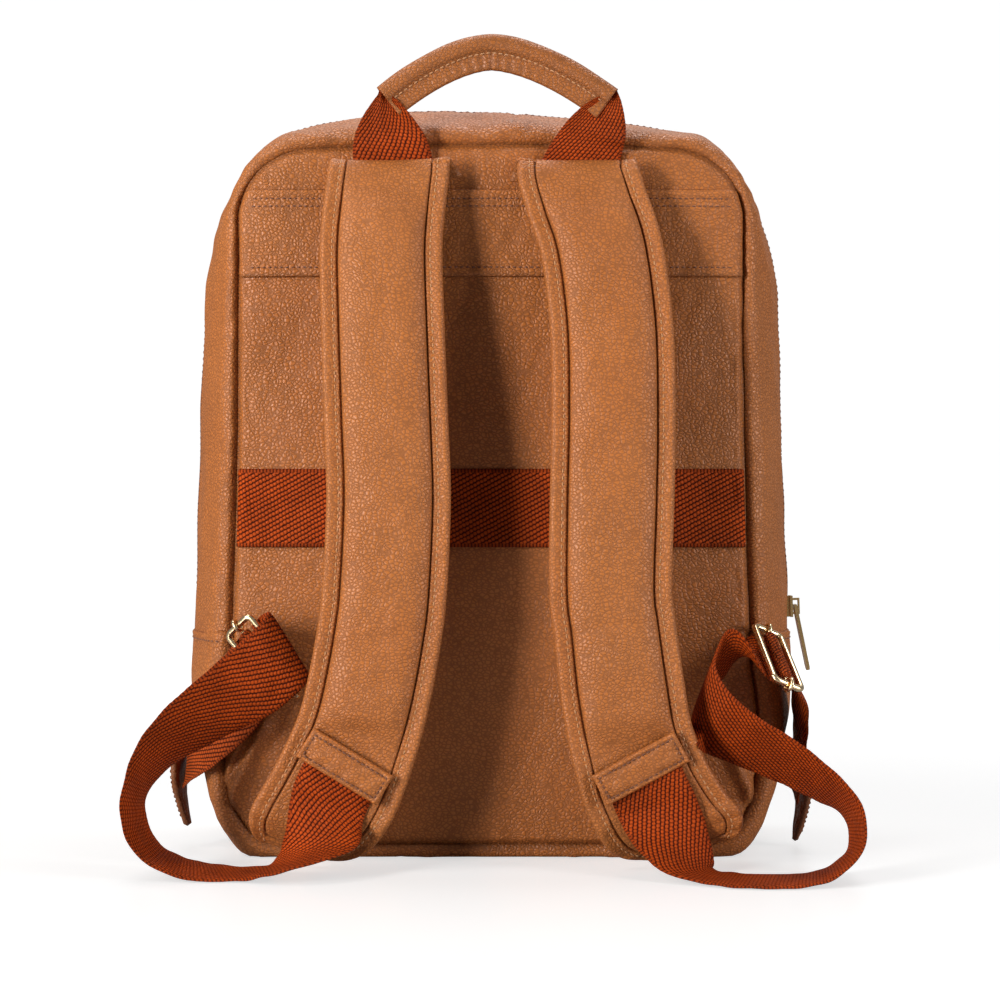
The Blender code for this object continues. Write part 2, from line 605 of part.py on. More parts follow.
def strap_frames(side, count=36):
    """Evenly sampled (point, across, normal, arc length, total length, half width)."""
    data = spline([[*c, *unit(a), w] for c, a, w in STRAPS[side]], count)
    pts = data[:, :3]
    length = np.concatenate([[0], np.cumsum(np.linalg.norm(np.diff(pts, axis=0), axis=1))])
    frames = []
    for i, p in enumerate(pts):
        t = unit(pts[min(i + 1, count)] - pts[max(i - 1, 0)])
        a = unit(data[i, 3:6])
        a = unit(a - t * np.dot(a, t) * 0.6)
        frames.append((p, a, unit(np.cross(t, a)), length[i], length[-1], data[i, 6] / 2))
    return frames


def pad_rise(s, total):
    return PAD_RISE * smooth((s - 0.020) / 0.030) * smooth((total - s - 0.062) / 0.020)


def build_strap(side):
    origin = np.array([STRAPS[side][0][0][0], -0.0668, PIVOT_Z])
    frames = strap_frames(side)
    across = (-1, -0.74, -0.66, -0.45, 0.0, 0.45, 0.66, 0.74, 1)
    faces_o, faces_i, back_o, back_i, foam_o, foam_i = [], [], [], [], [], []
    for p, a, n, s, total, hw in frames:
        rise = pad_rise(s, total)
        rows = [[], [], [], []]
        for c in across:
            dist = abs(c) * STRAP_W / 2
            bump = rise * math.sqrt(max(0.0, 1 - (dist / (PAD_W / 2)) ** 4)) if dist < PAD_W / 2 else 0.0
            q = p + a * hw * c
            rows[0].append(q + n * (0.00015 + 0.0016 + bump))
            rows[1].append(q + n * (0.00015 + bump))
            rows[2].append(q - n * 0.00035)
            rows[3].append(q - n * 0.0020)
        faces_o.append(rows[0])
        faces_i.append(rows[1])
        back_o.append(rows[2])
        back_i.append(rows[3])
        if rise > 0.0016:
            top, low = [], []
            for c in (-0.58, -0.45, 0.0, 0.45, 0.58):
                dist = abs(c) * STRAP_W / 2
                bump = rise * math.sqrt(1 - (dist / (PAD_W / 2)) ** 4)
                q = p + a * (STRAP_W / 2 * c)
                top.append(q + n * (max(bump - 0.00050, 0.0006)))
                low.append(q + n * 0.00020)
            foam_o.append(top)
            foam_i.append(low)
    add("strap_face_" + side, *slab(faces_o, faces_i), "leather", origin)
    add("strap_backing_" + side, *slab(back_o, back_i), "leather", origin)
    add("strap_foam_" + side, *slab(foam_o, foam_i), "foam", origin)
    return origin


WEBS = {
    "left": [((-74, -1125, 39), (-97, 0, 25)), ((-77, -1135, 28), (-98, 8, 17)),
             ((-81, -1180, 17), (-91, 40, 12)), ((-92, -1240, 9), (-52, 85, -5)),
             ((-105, -1230, 4), (-24, 97, -6)), ((-123, -1180, 2), (-36, 93, 4)),
             ((-146, -1160, 4), (-15, 96, 12)), ((-164, -1120, 13), (8, 99, 6)),
             ((-171, -1110, 30), (15, 99, -3)), ((-168, -1090, 45), (20, 96, -22)),
             ((-159, -1060, 59), (33, 86, -39)), ((-145, -1020, 71), (39, 70, -60)),
             ((-129, -990, 82), (39, 52, -76)), ((-113, -965, 93), (46, 19, -87)),
             ((-102, -935, 103), (50, 5, -87)), ((-98, -895, 108), (52, 0, -85)),
             ((-100, -855, 108), (58, -4, -80))],
    "right": [((84, -1125, 27), (-96, 0, -27)), ((86, -1135, 16), (-97, -12, -22)),
              ((93, -1190, 7), (-73, -68, -7)), ((102, -1260, 2), (-27, -96, 0)),
              ((118, -1350, 1), (-15, -99, 0)), ((142, -1360, 1), (-10, -100, 0)),
              ((160, -1300, 4), (-4, -100, 3)), ((172, -1230, 13), (5, -99, 14)),
              ((174, -1190, 23), (7, -98, 21)), ((171, -1150, 33), (9, -95, 29)),
              ((160, -1100, 42), (13, -88, 46)), ((143, -1060, 53), (13, -78, 61)),
              ((127, -1020, 61), (14, -71, 69)), ((110, -990, 71), (29, -56, 77)),
              ((103, -955, 82), (28, -44, 85)), ((106, -915, 94), (24, -50, 82)),
              ((115, -900, 103), (12, -70, 75))],
}


def build_strap_webbing(side, origin):
    rows = []
    for c, a in WEBS[side]:
        centre = (c[0] / 1000, c[1] / 10000, c[2] / 1000)
        rows.append((centre, a, WEB_W, WEB_T))
    start = strap_point(side, 0.052)
    p, a, n = start
    tilt = 0.27 if side == "left" else -0.27
    across = unit(-a * math.cos(tilt) + np.cross(n, a) * math.sin(tilt))
    rows[0] = (p + n * (0.00175 + GAP + WEB_T / 2), across, WEB_W * 0.98, WEB_T)
    p, a, n = strap_point(side, 0.036)
    rows[1] = (p + n * (0.00175 + GAP + WEB_T / 2 + 0.0004), across, WEB_W, WEB_T)
    c, el, r, normal = adjuster_axes(side)
    across = el if side == "left" else -el
    across = across if np.dot(across, rows[-1][1]) > 0 else -across
    rows.append((tuple(c - r * 0.0085 - normal * 0.0036), tuple(across), 0.0350, WEB_T))
    rows.append((tuple(c - r * 0.0030 - normal * 0.0043), tuple(across), 0.0340, WEB_T))
    frames = strap_frames(side, 120)[70:]
    heights = np.array([f[0][2] for f in frames])[::-1]
    middles = np.array([f[0][0] for f in frames])[::-1]
    fronts = np.array([f[0][1] - 0.00310 - pad_rise(f[3], f[4]) for f in frames])[::-1]

    def front(x, z):
        if abs(x - np.interp(z, heights, middles)) > STRAP_W / 2 + 0.010 or z > 0.075:
            return 1.0
        return float(np.interp(z, heights, fronts))
    add("strap_webbing_" + side, *ribbon(rows, 64, floor=True, front=front), "webbing", origin)


def strap_point(side, from_tip):
    frames = strap_frames(side, 120)
    total = frames[0][4]
    best = min(frames, key=lambda f: abs(total - f[3] - from_tip))
    return best[0], best[1], best[2]


def build_patch(side, origin):
    """Leather patch sewn over the top of the strap's webbing, turned with it."""
    p, a, n = strap_point(side, 0.054)
    tilt = 0.27 if side == "left" else -0.27
    ax = unit(a * math.cos(tilt) - np.cross(n, a) * math.sin(tilt))
    ay = unit(np.cross(n, ax))
    base = p + n * (0.00175 + GAP + WEB_T + GAP + 0.0025)
    profile = [(-0.0215, -0.0075), (0.0215, -0.0075), (0.0215, 0.0075), (-0.0215, 0.0075)]
    add("strap_patch_" + side, *prism(profile, base, ax, ay, n, 0.0016), "leather", origin)


# ---- corner tabs, tab webbing and adjusters -------------------------------------------------
ADJUSTERS = {
    "left": dict(c=(-0.1105, -0.0775, 0.1010), l=(0.66, -0.08, -0.745), r=(-0.67, 0.36, -0.65)),
    "right": dict(c=(0.1408, -0.0805, 0.1018), l=(0.149, -0.813, -0.562), r=(0.844, 0.399, -0.359)),
}


def adjuster_axes(side):
    k = ADJUSTERS[side]
    c, el = np.array(k["c"]), unit(k["l"])
    r = np.array(k["r"])
    r = unit(r - el * np.dot(r, el))
    n = unit(np.cross(el, r))
    return c, el, r, (n if n[1] < 0 else -n)


def circle_rings(points, closed, radius, sides, normal):
    rings = []
    m = len(points)
    for i, p in enumerate(points):
        b = points[(i + 1) % m] if closed or i < m - 1 else p
        a = points[i - 1] if closed or i > 0 else p
        t = unit(b - a)
        side = unit(np.cross(t, normal))
        rings.append([p + side * radius * math.cos(2 * math.pi * k / sides)
                      + normal * radius * math.sin(2 * math.pi * k / sides) for k in range(sides)])
    return rings


def build_adjuster(side):
    c, el, r, n = adjuster_axes(side)
    loop = []
    rad = 0.0028
    for sx, sy, a0 in ((1, 1, 0), (-1, 1, 90), (-1, -1, 180), (1, -1, 270)):
        corner = c + el * sx * (FRAME_L / 2 - rad) + r * sy * (FRAME_S / 2 - rad)
        for k in range(5):
            ang = math.radians(a0 + k * 22.5)
            loop.append(corner + el * rad * math.cos(ang) + r * rad * math.sin(ang))
    add("adjuster_frame_" + side, *torus_sweep(circle_rings(loop, True, WIRE_R, 8, n)), "gold", c)
    ends = [c - el * 0.0190, c + el * 0.0190]
    rod = add("adjuster_bar_" + side, *tube(circle_rings(ends, False, 0.0012, 8, n)), "gold", c)
    for s in (-1, 1):
        hub = c + el * s * FRAME_L / 2
        ring = [hub + (el * math.cos(2 * math.pi * k / 10) + n * math.sin(2 * math.pi * k / 10)) * 0.0031
                for k in range(10)]
        eye = add("eye", *torus_sweep(circle_rings(ring, True, 0.0010, 6, r)), "gold")
        boolean(rod, eye, "UNION")
    inner, outer = [], []
    for k in range(14):
        ang = 2 * math.pi * k / 14
        d = n * math.cos(ang) + r * math.sin(ang)
        outer.append(d * 0.0030)
        inner.append(d * 0.0015)
    rows_o = [[c + el * s * 0.0168 + d for d in outer] for s in (-1, 1)]
    rows_i = [[c + el * s * 0.0168 + d for d in inner] for s in (-1, 1)]
    add("adjuster_wrap_" + side, *slab(rows_o, rows_i, wrap=True), "webbing", c)


def build_tab(side):
    s = -1 if side == "left" else 1
    tip_z, top_z = (0.012, 0.048) if side == "left" else (0.004, 0.040)
    rows_o, rows_i = [], []
    for k in range(7):
        f = k / 6
        half = 0.0025 + 0.0175 * min(1.0, f / 0.72)
        x, z = 0.1585 + 0.0040 * f, tip_z + (top_z - tip_z) * f
        line = [np.array([s * x, -0.022 + half * c, z]) for c in (-1, -0.5, 0, 0.5, 1)]
        rows_o.append(line)
        rows_i.append([p - np.array([s * 0.0032, 0, 0]) for p in line])
    add("corner_tab_" + side, *slab(rows_o, rows_i), "leather")
    c, el, r, n = adjuster_axes(side)
    if side == "left":
        rows = [((-0.1566, -0.0220, 0.0380), (0, 0.95, 0.30)), ((-0.1530, -0.0420, 0.0480), (-0.15, 0.85, 0.50)),
                ((-0.1425, -0.0590, 0.0620), (-0.35, 0.60, 0.72)), ((-0.1280, -0.0690, 0.0790), (-0.52, 0.30, 0.80))]
    else:
        rows = [((0.1560, -0.0220, 0.0300), (0, 0.95, 0.30)), ((0.1560, -0.0400, 0.0500), (0, 0.85, 0.50)),
                ((0.1545, -0.0560, 0.0700), (-0.10, 0.80, 0.58)), ((0.1525, -0.0680, 0.0860), (-0.14, 0.81, 0.56))]
    rows = [(p, a, WEB_W, WEB_T) for p, a in rows]
    rows.append((tuple(c + r * 0.0085 - n * 0.0036), tuple(-el), 0.0340, WEB_T))
    rows.append((tuple(c + r * 0.0030 - n * 0.0042), tuple(-el), 0.0330, WEB_T))
    add("tab_webbing_" + side, *ribbon(rows, 22), "webbing")


def main():
    clear_scene()
    build_bag()
    build_pocket()
    build_main_slider()
    build_handle()
    build_handle_webbing()
    for side in ("left", "right"):
        origin = build_strap(side)
        build_strap_webbing(side, origin)
        build_patch(side, origin)
        build_adjuster(side)
        build_tab(side)
    total = 0
    for obj in bpy.data.objects:
        obj.data.calc_loop_triangles()
        total += len(obj.data.loop_triangles)
        print("TRI", obj.name, len(obj.data.loop_triangles))
    print("triangles", total, "objects", len(bpy.data.objects))


main()
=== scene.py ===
"""Looks of the leather backpack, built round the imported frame. Metres, +Z up, wearer's side -Y."""
import math

import bmesh
import bpy
import numpy as np
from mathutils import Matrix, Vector


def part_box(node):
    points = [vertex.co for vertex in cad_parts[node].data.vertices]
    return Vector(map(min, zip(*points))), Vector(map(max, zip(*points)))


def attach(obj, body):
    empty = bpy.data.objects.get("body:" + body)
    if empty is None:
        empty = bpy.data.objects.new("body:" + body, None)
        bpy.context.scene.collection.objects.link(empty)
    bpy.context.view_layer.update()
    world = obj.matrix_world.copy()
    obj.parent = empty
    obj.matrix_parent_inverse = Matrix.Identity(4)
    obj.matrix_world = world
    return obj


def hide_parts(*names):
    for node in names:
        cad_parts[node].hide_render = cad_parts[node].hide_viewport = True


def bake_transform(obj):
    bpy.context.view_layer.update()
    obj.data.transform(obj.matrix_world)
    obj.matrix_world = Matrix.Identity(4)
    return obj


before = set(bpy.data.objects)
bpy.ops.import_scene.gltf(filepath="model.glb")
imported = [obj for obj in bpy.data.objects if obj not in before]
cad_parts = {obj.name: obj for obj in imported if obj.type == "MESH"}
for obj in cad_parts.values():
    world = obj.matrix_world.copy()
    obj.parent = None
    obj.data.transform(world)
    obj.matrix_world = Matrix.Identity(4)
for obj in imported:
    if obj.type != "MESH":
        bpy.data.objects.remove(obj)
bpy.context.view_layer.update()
PI = math.pi
SIDES = ("left", "right")

# ---- dimensions shared with the solids ------------------------------------------------------
HALF_DEPTH = 0.058
HEM_Z, ZIP_Y, TOOTH_SINK = 0.111, -0.0090, 0.0014
WEB_W, WEB_T, GAP = 0.038, 0.0016, 0.0003
BAND = (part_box("upper_band")[0].z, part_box("upper_band")[1].z)
BAND_STITCHES = (BAND[1] - 0.0036, BAND[1] - 0.0080, BAND[0] + 0.0032)
TROLLEY = (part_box("trolley_strap")[0].z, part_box("trolley_strap")[1].z)
SPLIT_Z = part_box("front_panel_lower")[1].z
POCKET_Z = (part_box("pocket_tape_lower")[0].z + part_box("pocket_tape_upper")[1].z) / 2
POCKET_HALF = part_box("pocket_teeth_upper")[1].x
STRAP_W, PAD_RISE = 0.060, 0.0050
HANDLE_Y, HANDLE_R = -0.070, 0.0050
HANDLE_END_Z, HANDLE_TOP_Z = 0.380, 0.405
FRAME_L, FRAME_S = 0.0430, 0.0165
TOP_LEAN = 0.0019                       # the stuffed top sits higher on the left than on the right
HEM_STITCH, ZIP_STITCH, FOLD_STITCH = 0.0030, 0.0026, 0.0045   # thread rows, in from each edge
TAPE_EDGE = 0.0080                      # from the middle of the zip to the leather
SEAM_PAINTED_SHADE = -0.42                      # painted shade: how much darker the leather is drawn in a seam's groove
PANEL_FIT = 0.993                       # how much of the panel's width a strip across it takes
POCKET_SLOT = 0.0088                    # height of the cut under the pocket's zip
STRAP_HALF = 0.00175                    # half the strap's thickness at its flat border
PATCH_X, PATCH_Z, PATCH_INSET = 0.0222, 0.0080, 0.0024
PATCH_BOW = 0.018 / 0.044               # the patch follows the strap's bowed width
PATCH_TILT = {"left": 0.27, "right": -0.27}
WIRE_R, ROD_R, EYE_R, ROLL_R = 0.0016, 0.0012, 0.0030, 0.0031
PLEAT_PITCH = 0.0062                    # folds on the underside of the handle

# Half outlines in x and z. The flat bottom ends at a, and c1 and c2 steer the curve from there up to b.
# The side runs from b to d with a belly, and the corner at e is rounded off between d and f.
REAR = dict(a=(0.1040, 0.0065), c1=(0.1360, 0.0065), c2=(0.1385, 0.0550), b=(0.1300, 0.0980),
            d=(0.1265, 0.3200), e=(0.1255, 0.3550), f=(0.0890, 0.3550), top=0.3570, belly=-0.0015)
MID = dict(a=(0.1180, 0.0), c1=(0.1380, 0.0), c2=(0.1563, 0.0680), b=(0.1550, 0.1000),
           d=(0.1489, 0.2830), e=(0.1413, 0.3641), f=(0.1020, 0.3702), top=0.3810, belly=0.0003)
FRONT = dict(a=(0.1040, 0.0070), c1=(0.1360, 0.0070), c2=(0.1375, 0.0550), b=(0.1320, 0.0980),
             d=(0.1235, 0.3150), e=(0.1220, 0.3480), f=(0.0860, 0.3480), top=0.3500, belly=0.0)


# ---- small helpers --------------------------------------------------------------------------
def unit(v):
    v = np.asarray(v, float)
    return v / (np.linalg.norm(v, axis=-1, keepdims=True) + 1e-12)


def smooth(t):
    t = np.clip(t, 0.0, 1.0)
    return t * t * (3 - 2 * t)


def bell(x, width):
    return np.exp(-(x / width) ** 2)


def ripple(x, y, seed, wave, terms=9):
    """Repeatable soft noise about -1 to 1 with a typical wavelength."""
    rng = np.random.default_rng(seed)
    total = np.zeros(np.broadcast(x, y).shape)
    for _ in range(terms):
        a, k, phase = rng.uniform(0, 2 * PI), rng.uniform(0.6, 1.7) * 2 * PI / wave, rng.uniform(0, 2 * PI)
        total = total + np.sin(k * (np.cos(a) * x + np.sin(a) * y) + phase)
    return total / terms ** 0.5


def spline(points, count):
    pts = np.asarray(points, float)
    ext = np.vstack([2 * pts[0] - pts[1], pts, 2 * pts[-1] - pts[-2]])
    t = np.linspace(0, len(pts) - 1, count + 1)
    i = np.minimum(t.astype(int), len(pts) - 2)
    f = (t - i)[:, None]
    p0, p1, p2, p3 = (ext[i + k] for k in range(4))
    return 0.5 * (2 * p1 + (p2 - p0) * f + (2 * p0 - 5 * p1 + 4 * p2 - p3) * f * f
                  + (3 * p1 - p0 - 3 * p2 + p3) * f ** 3)


def length_along(pts):
    return np.concatenate([[0], np.cumsum(np.linalg.norm(np.diff(pts, axis=0), axis=-1))])


def grid3(x, y, z):
    """Points from their three coordinates."""
    return np.stack([x, y, z], -1)


def repeat(v, count):
    return np.tile(np.asarray(v, float), (count, 1))


# ---- materials ------------------------------------------------------------------------------
class Graph:
    """A Principled material and short ways to add nodes to it."""

    def __init__(self, name, rough=0.5, metal=0.0, **sockets):
        self.mat = bpy.data.materials.new(name)
        self.mat.use_nodes = True
        self.tree = self.mat.node_tree
        self.shader = self.tree.nodes["Principled BSDF"]
        self.shader.inputs["Roughness"].default_value = rough
        self.shader.inputs["Metallic"].default_value = metal
        for key, value in sockets.items():
            self.shader.inputs[key.replace("_", " ")].default_value = value

    def node(self, kind, inputs=(), **props):
        made = self.tree.nodes.new("ShaderNode" + kind)
        for key, value in props.items():
            setattr(made, key, value)
        for key, value in dict(inputs).items():
            self.put(made.inputs[key], value)
        return made

    def put(self, socket, value):
        if isinstance(value, bpy.types.NodeSocket):
            self.tree.links.new(value, socket)
        else:
            socket.default_value = value

    def math(self, op, a, b=0.0, c=0.0):
        return self.node("Math", {0: a, 1: b, 2: c}, operation=op).outputs[0]

    def add(self, a, b):
        return self.math("ADD", a, b)

    def sub(self, a, b):
        return self.math("SUBTRACT", a, b)

    def mul(self, a, b):
        return self.math("MULTIPLY", a, b)

    def power(self, a, b):
        return self.math("POWER", a, b)

    def ridges(self, a):
        """Rounded ridges, one to each half turn."""
        return self.math("ABSOLUTE", self.math("SINE", a))

    def vector(self, op, a, b):
        return self.node("VectorMath", {0: a, 1: b}, operation=op).outputs[0]

    def ramp(self, value, lo, hi, to_lo, to_hi):
        made = self.node("MapRange", {"Value": value, "From Min": lo, "From Max": hi, "To Min": to_lo,
                                      "To Max": to_hi}, interpolation_type="SMOOTHSTEP")
        return made.outputs["Result"]

    def noise(self, coord, scale, detail=3.0, rough=0.5):
        return self.node("TexNoise", {"Vector": coord, "Scale": scale, "Detail": detail,
                                      "Roughness": rough}).outputs["Fac"]

    def scaled(self, color, factor):
        made = self.node("VectorMath", {0: color, "Scale": factor}, operation="SCALE")
        return made.outputs[0]

    def blend(self, factor, a, b):
        made = self.node("Mix", data_type="RGBA")
        self.put(made.inputs["Factor"], factor)
        self.put(made.inputs["A"], a)
        self.put(made.inputs["B"], b)
        return made.outputs["Result"]

    def object(self):
        return self.node("TexCoord").outputs["Object"]

    # The tone attribute scales the colour: it carries painted shade in seams, grooves and creases, painted
    # highlights on raised edges, and darker edges and undersides.
    def tone(self):
        return self.add(self.node("Attribute", attribute_name="tone").outputs["Fac"], 1.0)

    def finish(self, color=None, rough=None, height=None, strength=0.5, distance=0.0005):
        if color is not None:
            self.tree.links.new(color, self.shader.inputs["Base Color"])
        if rough is not None:
            self.tree.links.new(rough, self.shader.inputs["Roughness"])
        if height is not None:
            bump = self.node("Bump", {"Height": height, "Strength": strength, "Distance": distance})
            self.tree.links.new(bump.outputs["Normal"], self.shader.inputs["Normal"])
        return self.mat


CELL_DRIFT = 0.0016                   # how far a pebble strays from its place
CELL_STRETCH = (1.0, 1.0, 1.3)        # pebbles are wider than tall
RIB_PITCH, FLOAT_LENGTH, SELVEDGE_PITCH = 0.00215, 0.0019, 0.0017


def leather(name, color, cell=460.0, strength=1.0, rough=0.40, deep=0.72):
    """Pebbled leather: rounded cells of uneven size with worn tops, painted shade in the valleys between
    them and a faint painted highlight on their tops, mottled dye.
    """
    g = Graph(name, rough, Specular_IOR_Level=0.45)
    place = g.object()
    drift = g.node("TexNoise", {"Vector": place, "Scale": 120.0, "Detail": 1.0}).outputs["Color"]
    moved = g.scaled(g.vector("SUBTRACT", drift, (0.5, 0.5, 0.5)), CELL_DRIFT)
    moved = g.vector("MULTIPLY", g.vector("ADD", place, moved), CELL_STRETCH)
    edge = g.node("TexVoronoi", {"Vector": moved, "Scale": cell, "Randomness": 1.0},
                  feature="DISTANCE_TO_EDGE").outputs["Distance"]
    height = g.mul(g.power(g.ramp(edge, 0.0, 0.42, 0.0, 1.0), 0.55), 0.90)
    height = g.add(height, g.mul(g.noise(place, 700.0, 2.0), 0.05))
    mottle = g.ramp(g.noise(place, 26.0, 4.0, 0.5), 0.3, 0.7, 0.96, 1.04)
    dots = g.ramp(g.noise(place, 190.0, 3.0), 0.3, 0.7, 0.97, 1.03)
    # painted shade: the colour darkens to deep in the valleys between the pebbles, with a faint painted
    # highlight on their tops
    pebble_valley_shade = g.ramp(height, 0.12, 0.72, deep, 1.03)
    shade = g.mul(g.mul(mottle, dots), pebble_valley_shade)
    shade = g.mul(shade, g.tone())
    tint = g.blend(g.ramp(g.noise(place, 14.0, 3.0), 0.35, 0.65, 0.0, 1.0), (*color, 1.0),
                   (color[0] * 0.97, color[1] * 0.93, color[2] * 0.86, 1.0))
    gloss = g.ramp(height, 0.1, 0.9, rough + 0.20, rough - 0.04)
    worn = g.ramp(g.noise(place, 34.0, 3.0), 0.35, 0.65, 0.65, 1.0)
    return g.finish(g.scaled(tint, shade), gloss, g.mul(height, worn), strength, 0.00042)


def webbing(name, bright, dark, lean=1.0):
    """Twill webbing in metres of UV: bold diagonal ribs of short yarn floats, and a plain selvedge."""
    g = Graph(name, 0.6, Specular_IOR_Level=0.12)
    uv = g.node("UVMap", uv_map="cloth").outputs[0]
    wobble = g.mul(g.sub(g.noise(uv, 220.0, 2.0), 0.5), 0.0011)
    parts = g.node("SeparateXYZ", {0: uv})
    u, v = g.add(parts.outputs[0], wobble), parts.outputs[1]
    rib = g.sub(g.mul(u, 0.88), g.mul(v, 0.47 * lean))
    phase = g.mul(rib, PI / RIB_PITCH)
    ribs = g.ridges(phase)
    row = g.add(g.mul(v, 0.88), g.mul(u, 0.47 * lean))
    step = g.mul(g.math("FLOOR", g.math("DIVIDE", phase, PI)), 0.5)
    yarn = g.ridges(g.mul(g.add(g.math("DIVIDE", row, FLOAT_LENGTH), step), PI))
    height = g.mul(g.power(ribs, 0.6), g.add(g.mul(g.power(yarn, 0.7), 0.55), 0.45))
    edge = g.math("ABSOLUTE", g.sub(parts.outputs[0], WEB_W / 2))
    border = g.ramp(edge, WEB_W / 2 - 0.0017, WEB_W / 2 - 0.0011, 0.0, 1.0)
    knots = g.add(g.mul(g.ridges(g.mul(v, PI / SELVEDGE_PITCH)), 0.45), 0.30)
    height = g.add(g.mul(height, g.sub(1.0, border)), g.mul(knots, border))
    fuzz = g.noise(g.object(), 3400.0, 2.0)
    level = g.add(height, g.mul(g.sub(fuzz, 0.5), 0.5))
    # painted shade and highlight: the colour runs from the dark colour in the low parts of the weave to the
    # bright colour on the raised yarn and selvedge knots
    color = g.blend(g.ramp(level, 0.22, 1.0, 0.0, 1.0), (*dark, 1.0), (*bright, 1.0))
    mottle = g.ramp(g.noise(g.object(), 60.0, 3.0), 0.3, 0.7, 0.85, 1.12)
    color = g.scaled(color, g.mul(mottle, g.tone()))
    return g.finish(color, g.ramp(level, 0.2, 1.0, 0.8, 0.45), level, 0.9, 0.0006)


def woven(name, color, pitch, strength=0.6, rough=0.8):
    """Plain woven cloth: crossing threads in object space."""
    g = Graph(name, rough, Sheen_Weight=0.2, Specular_IOR_Level=0.3)
    place = g.object()
    parts = g.node("SeparateXYZ", {0: place})
    diagonal = g.add(parts.outputs[0], parts.outputs[1])
    a = g.math("SINE", g.mul(diagonal, 2 * PI / pitch))
    b = g.math("SINE", g.mul(parts.outputs[2], 2 * PI / pitch))
    height = g.add(g.mul(g.mul(a, b), 0.5), 0.5)
    fuzz = g.noise(place, 900.0, 3.0)
    level = g.add(height, g.mul(fuzz, 0.3))
    # painted shade: the cloth is drawn darker in the low parts of the weave
    shade = g.mul(g.ramp(level, 0.1, 1.2, 0.72, 1.1), g.tone())
    gloss = g.ramp(fuzz, 0.3, 0.7, rough, rough - 0.12)
    return g.finish(g.scaled(color, shade), gloss, level, strength, 0.0003)


def thread(name, color):
    g = Graph(name, 0.55, Sheen_Weight=0.2)
    place = g.object()
    ply = g.noise(place, 2200.0, 2.0)
    shade = g.ramp(ply, 0.3, 0.7, 0.8, 1.12)
    return g.finish(g.scaled(color, shade), g.ramp(ply, 0.3, 0.7, 0.65, 0.5), ply, 0.4, 0.0002)


def metal(name, color, rough=0.2):
    g = Graph(name, rough, 1.0, Specular_IOR_Level=0.5)
    place = g.object()
    grain = g.noise(place, 420.0, 4.0, 0.6)
    wear = g.noise(place, 90.0, 3.0)
    tint = g.scaled(color, g.ramp(wear, 0.3, 0.7, 0.93, 1.05))
    return g.finish(tint, g.ramp(grain, 0.3, 0.7, rough - 0.05, rough + 0.10), grain, 0.06, 0.0001)


M = {
    "leather": leather("leather_pebbled", (0.475, 0.150, 0.032), strength=0.85, rough=0.42, deep=0.66),
    "strap": leather("leather_strap", (0.490, 0.156, 0.033), cell=480.0, strength=0.7, rough=0.44,
                     deep=0.66),
    "edge": leather("leather_tab", (0.36, 0.11, 0.028), cell=490.0, strength=0.8, deep=0.76),
    "webbing": webbing("webbing_twill", (0.53, 0.072, 0.005), (0.045, 0.004, 0.001)),
    "webbing_back": webbing("webbing_twill_back", (0.46, 0.070, 0.006), (0.040, 0.004, 0.001), -1.0),
    "tape": woven("zip_tape", (0.20, 0.075, 0.030), 0.0009),
    "lining": woven("lining_cloth", (0.20, 0.12, 0.07), 0.0011),
    "foam": woven("foam_cells", (0.25, 0.24, 0.23), 0.0016),
    "board": woven("board_fibre", (0.06, 0.05, 0.045), 0.0022, 0.3),
    "thread": thread("thread_light", (0.56, 0.27, 0.11)),
    "thread_dark": thread("thread_brown", (0.17, 0.052, 0.018)),
    "gold": metal("gold_satin", (0.86, 0.66, 0.40)),
    "teeth": metal("gold_teeth", (0.75, 0.55, 0.30), 0.28),
    "pull": metal("gold_pull", (0.70, 0.46, 0.20), 0.26),
}


# ---- mesh making ----------------------------------------------------------------------------
def mesh_object(name, verts, faces, mat, uv=None, tone=None):
    mesh = bpy.data.meshes.new(name)
    mesh.from_pydata(np.asarray(verts, float).tolist(), [], [list(map(int, f)) for f in faces])
    if tone is not None:
        shade = mesh.attributes.new("tone", "FLOAT", "POINT")
        shade.data.foreach_set("value", np.asarray(tone, np.float32))
    if uv is not None:
        layer = mesh.uv_layers.new(name="cloth")
        index = np.zeros(len(mesh.loops), np.int32)
        mesh.loops.foreach_get("vertex_index", index)
        layer.data.foreach_set("uv", np.asarray(uv, np.float32)[index].ravel())
    bm = bmesh.new()
    bm.from_mesh(mesh)
    bmesh.ops.recalc_face_normals(bm, faces=bm.faces)
    if bm.calc_volume(signed=True) < 0:
        bmesh.ops.reverse_faces(bm, faces=bm.faces)
    bm.to_mesh(mesh)
    bm.free()
    mesh.polygons.foreach_set("use_smooth", [True] * len(mesh.polygons))
    mesh.materials.append(M[mat])
    obj = bpy.data.objects.new(name, mesh)
    bpy.context.scene.collection.objects.link(obj)
    return obj


def quads(rows, cols, start=0, wrap=False):
    out = []
    for r in range(rows - 1):
        for c in range(cols if wrap else cols - 1):
            n = (c + 1) % cols
            out.append((start + r * cols + c, start + r * cols + n,
                        start + (r + 1) * cols + n, start + (r + 1) * cols + c))
    return out


def normals(grid, inside=(0.0, 0.0, 0.19), wrap=False):
    if wrap:
        across = np.roll(grid, -1, 1) - np.roll(grid, 1, 1)
    else:
        across = np.gradient(grid, axis=1)
    n = unit(np.cross(np.gradient(grid, axis=0), across))
    return -n if np.sum(n * (grid - np.asarray(inside))) < 0 else n


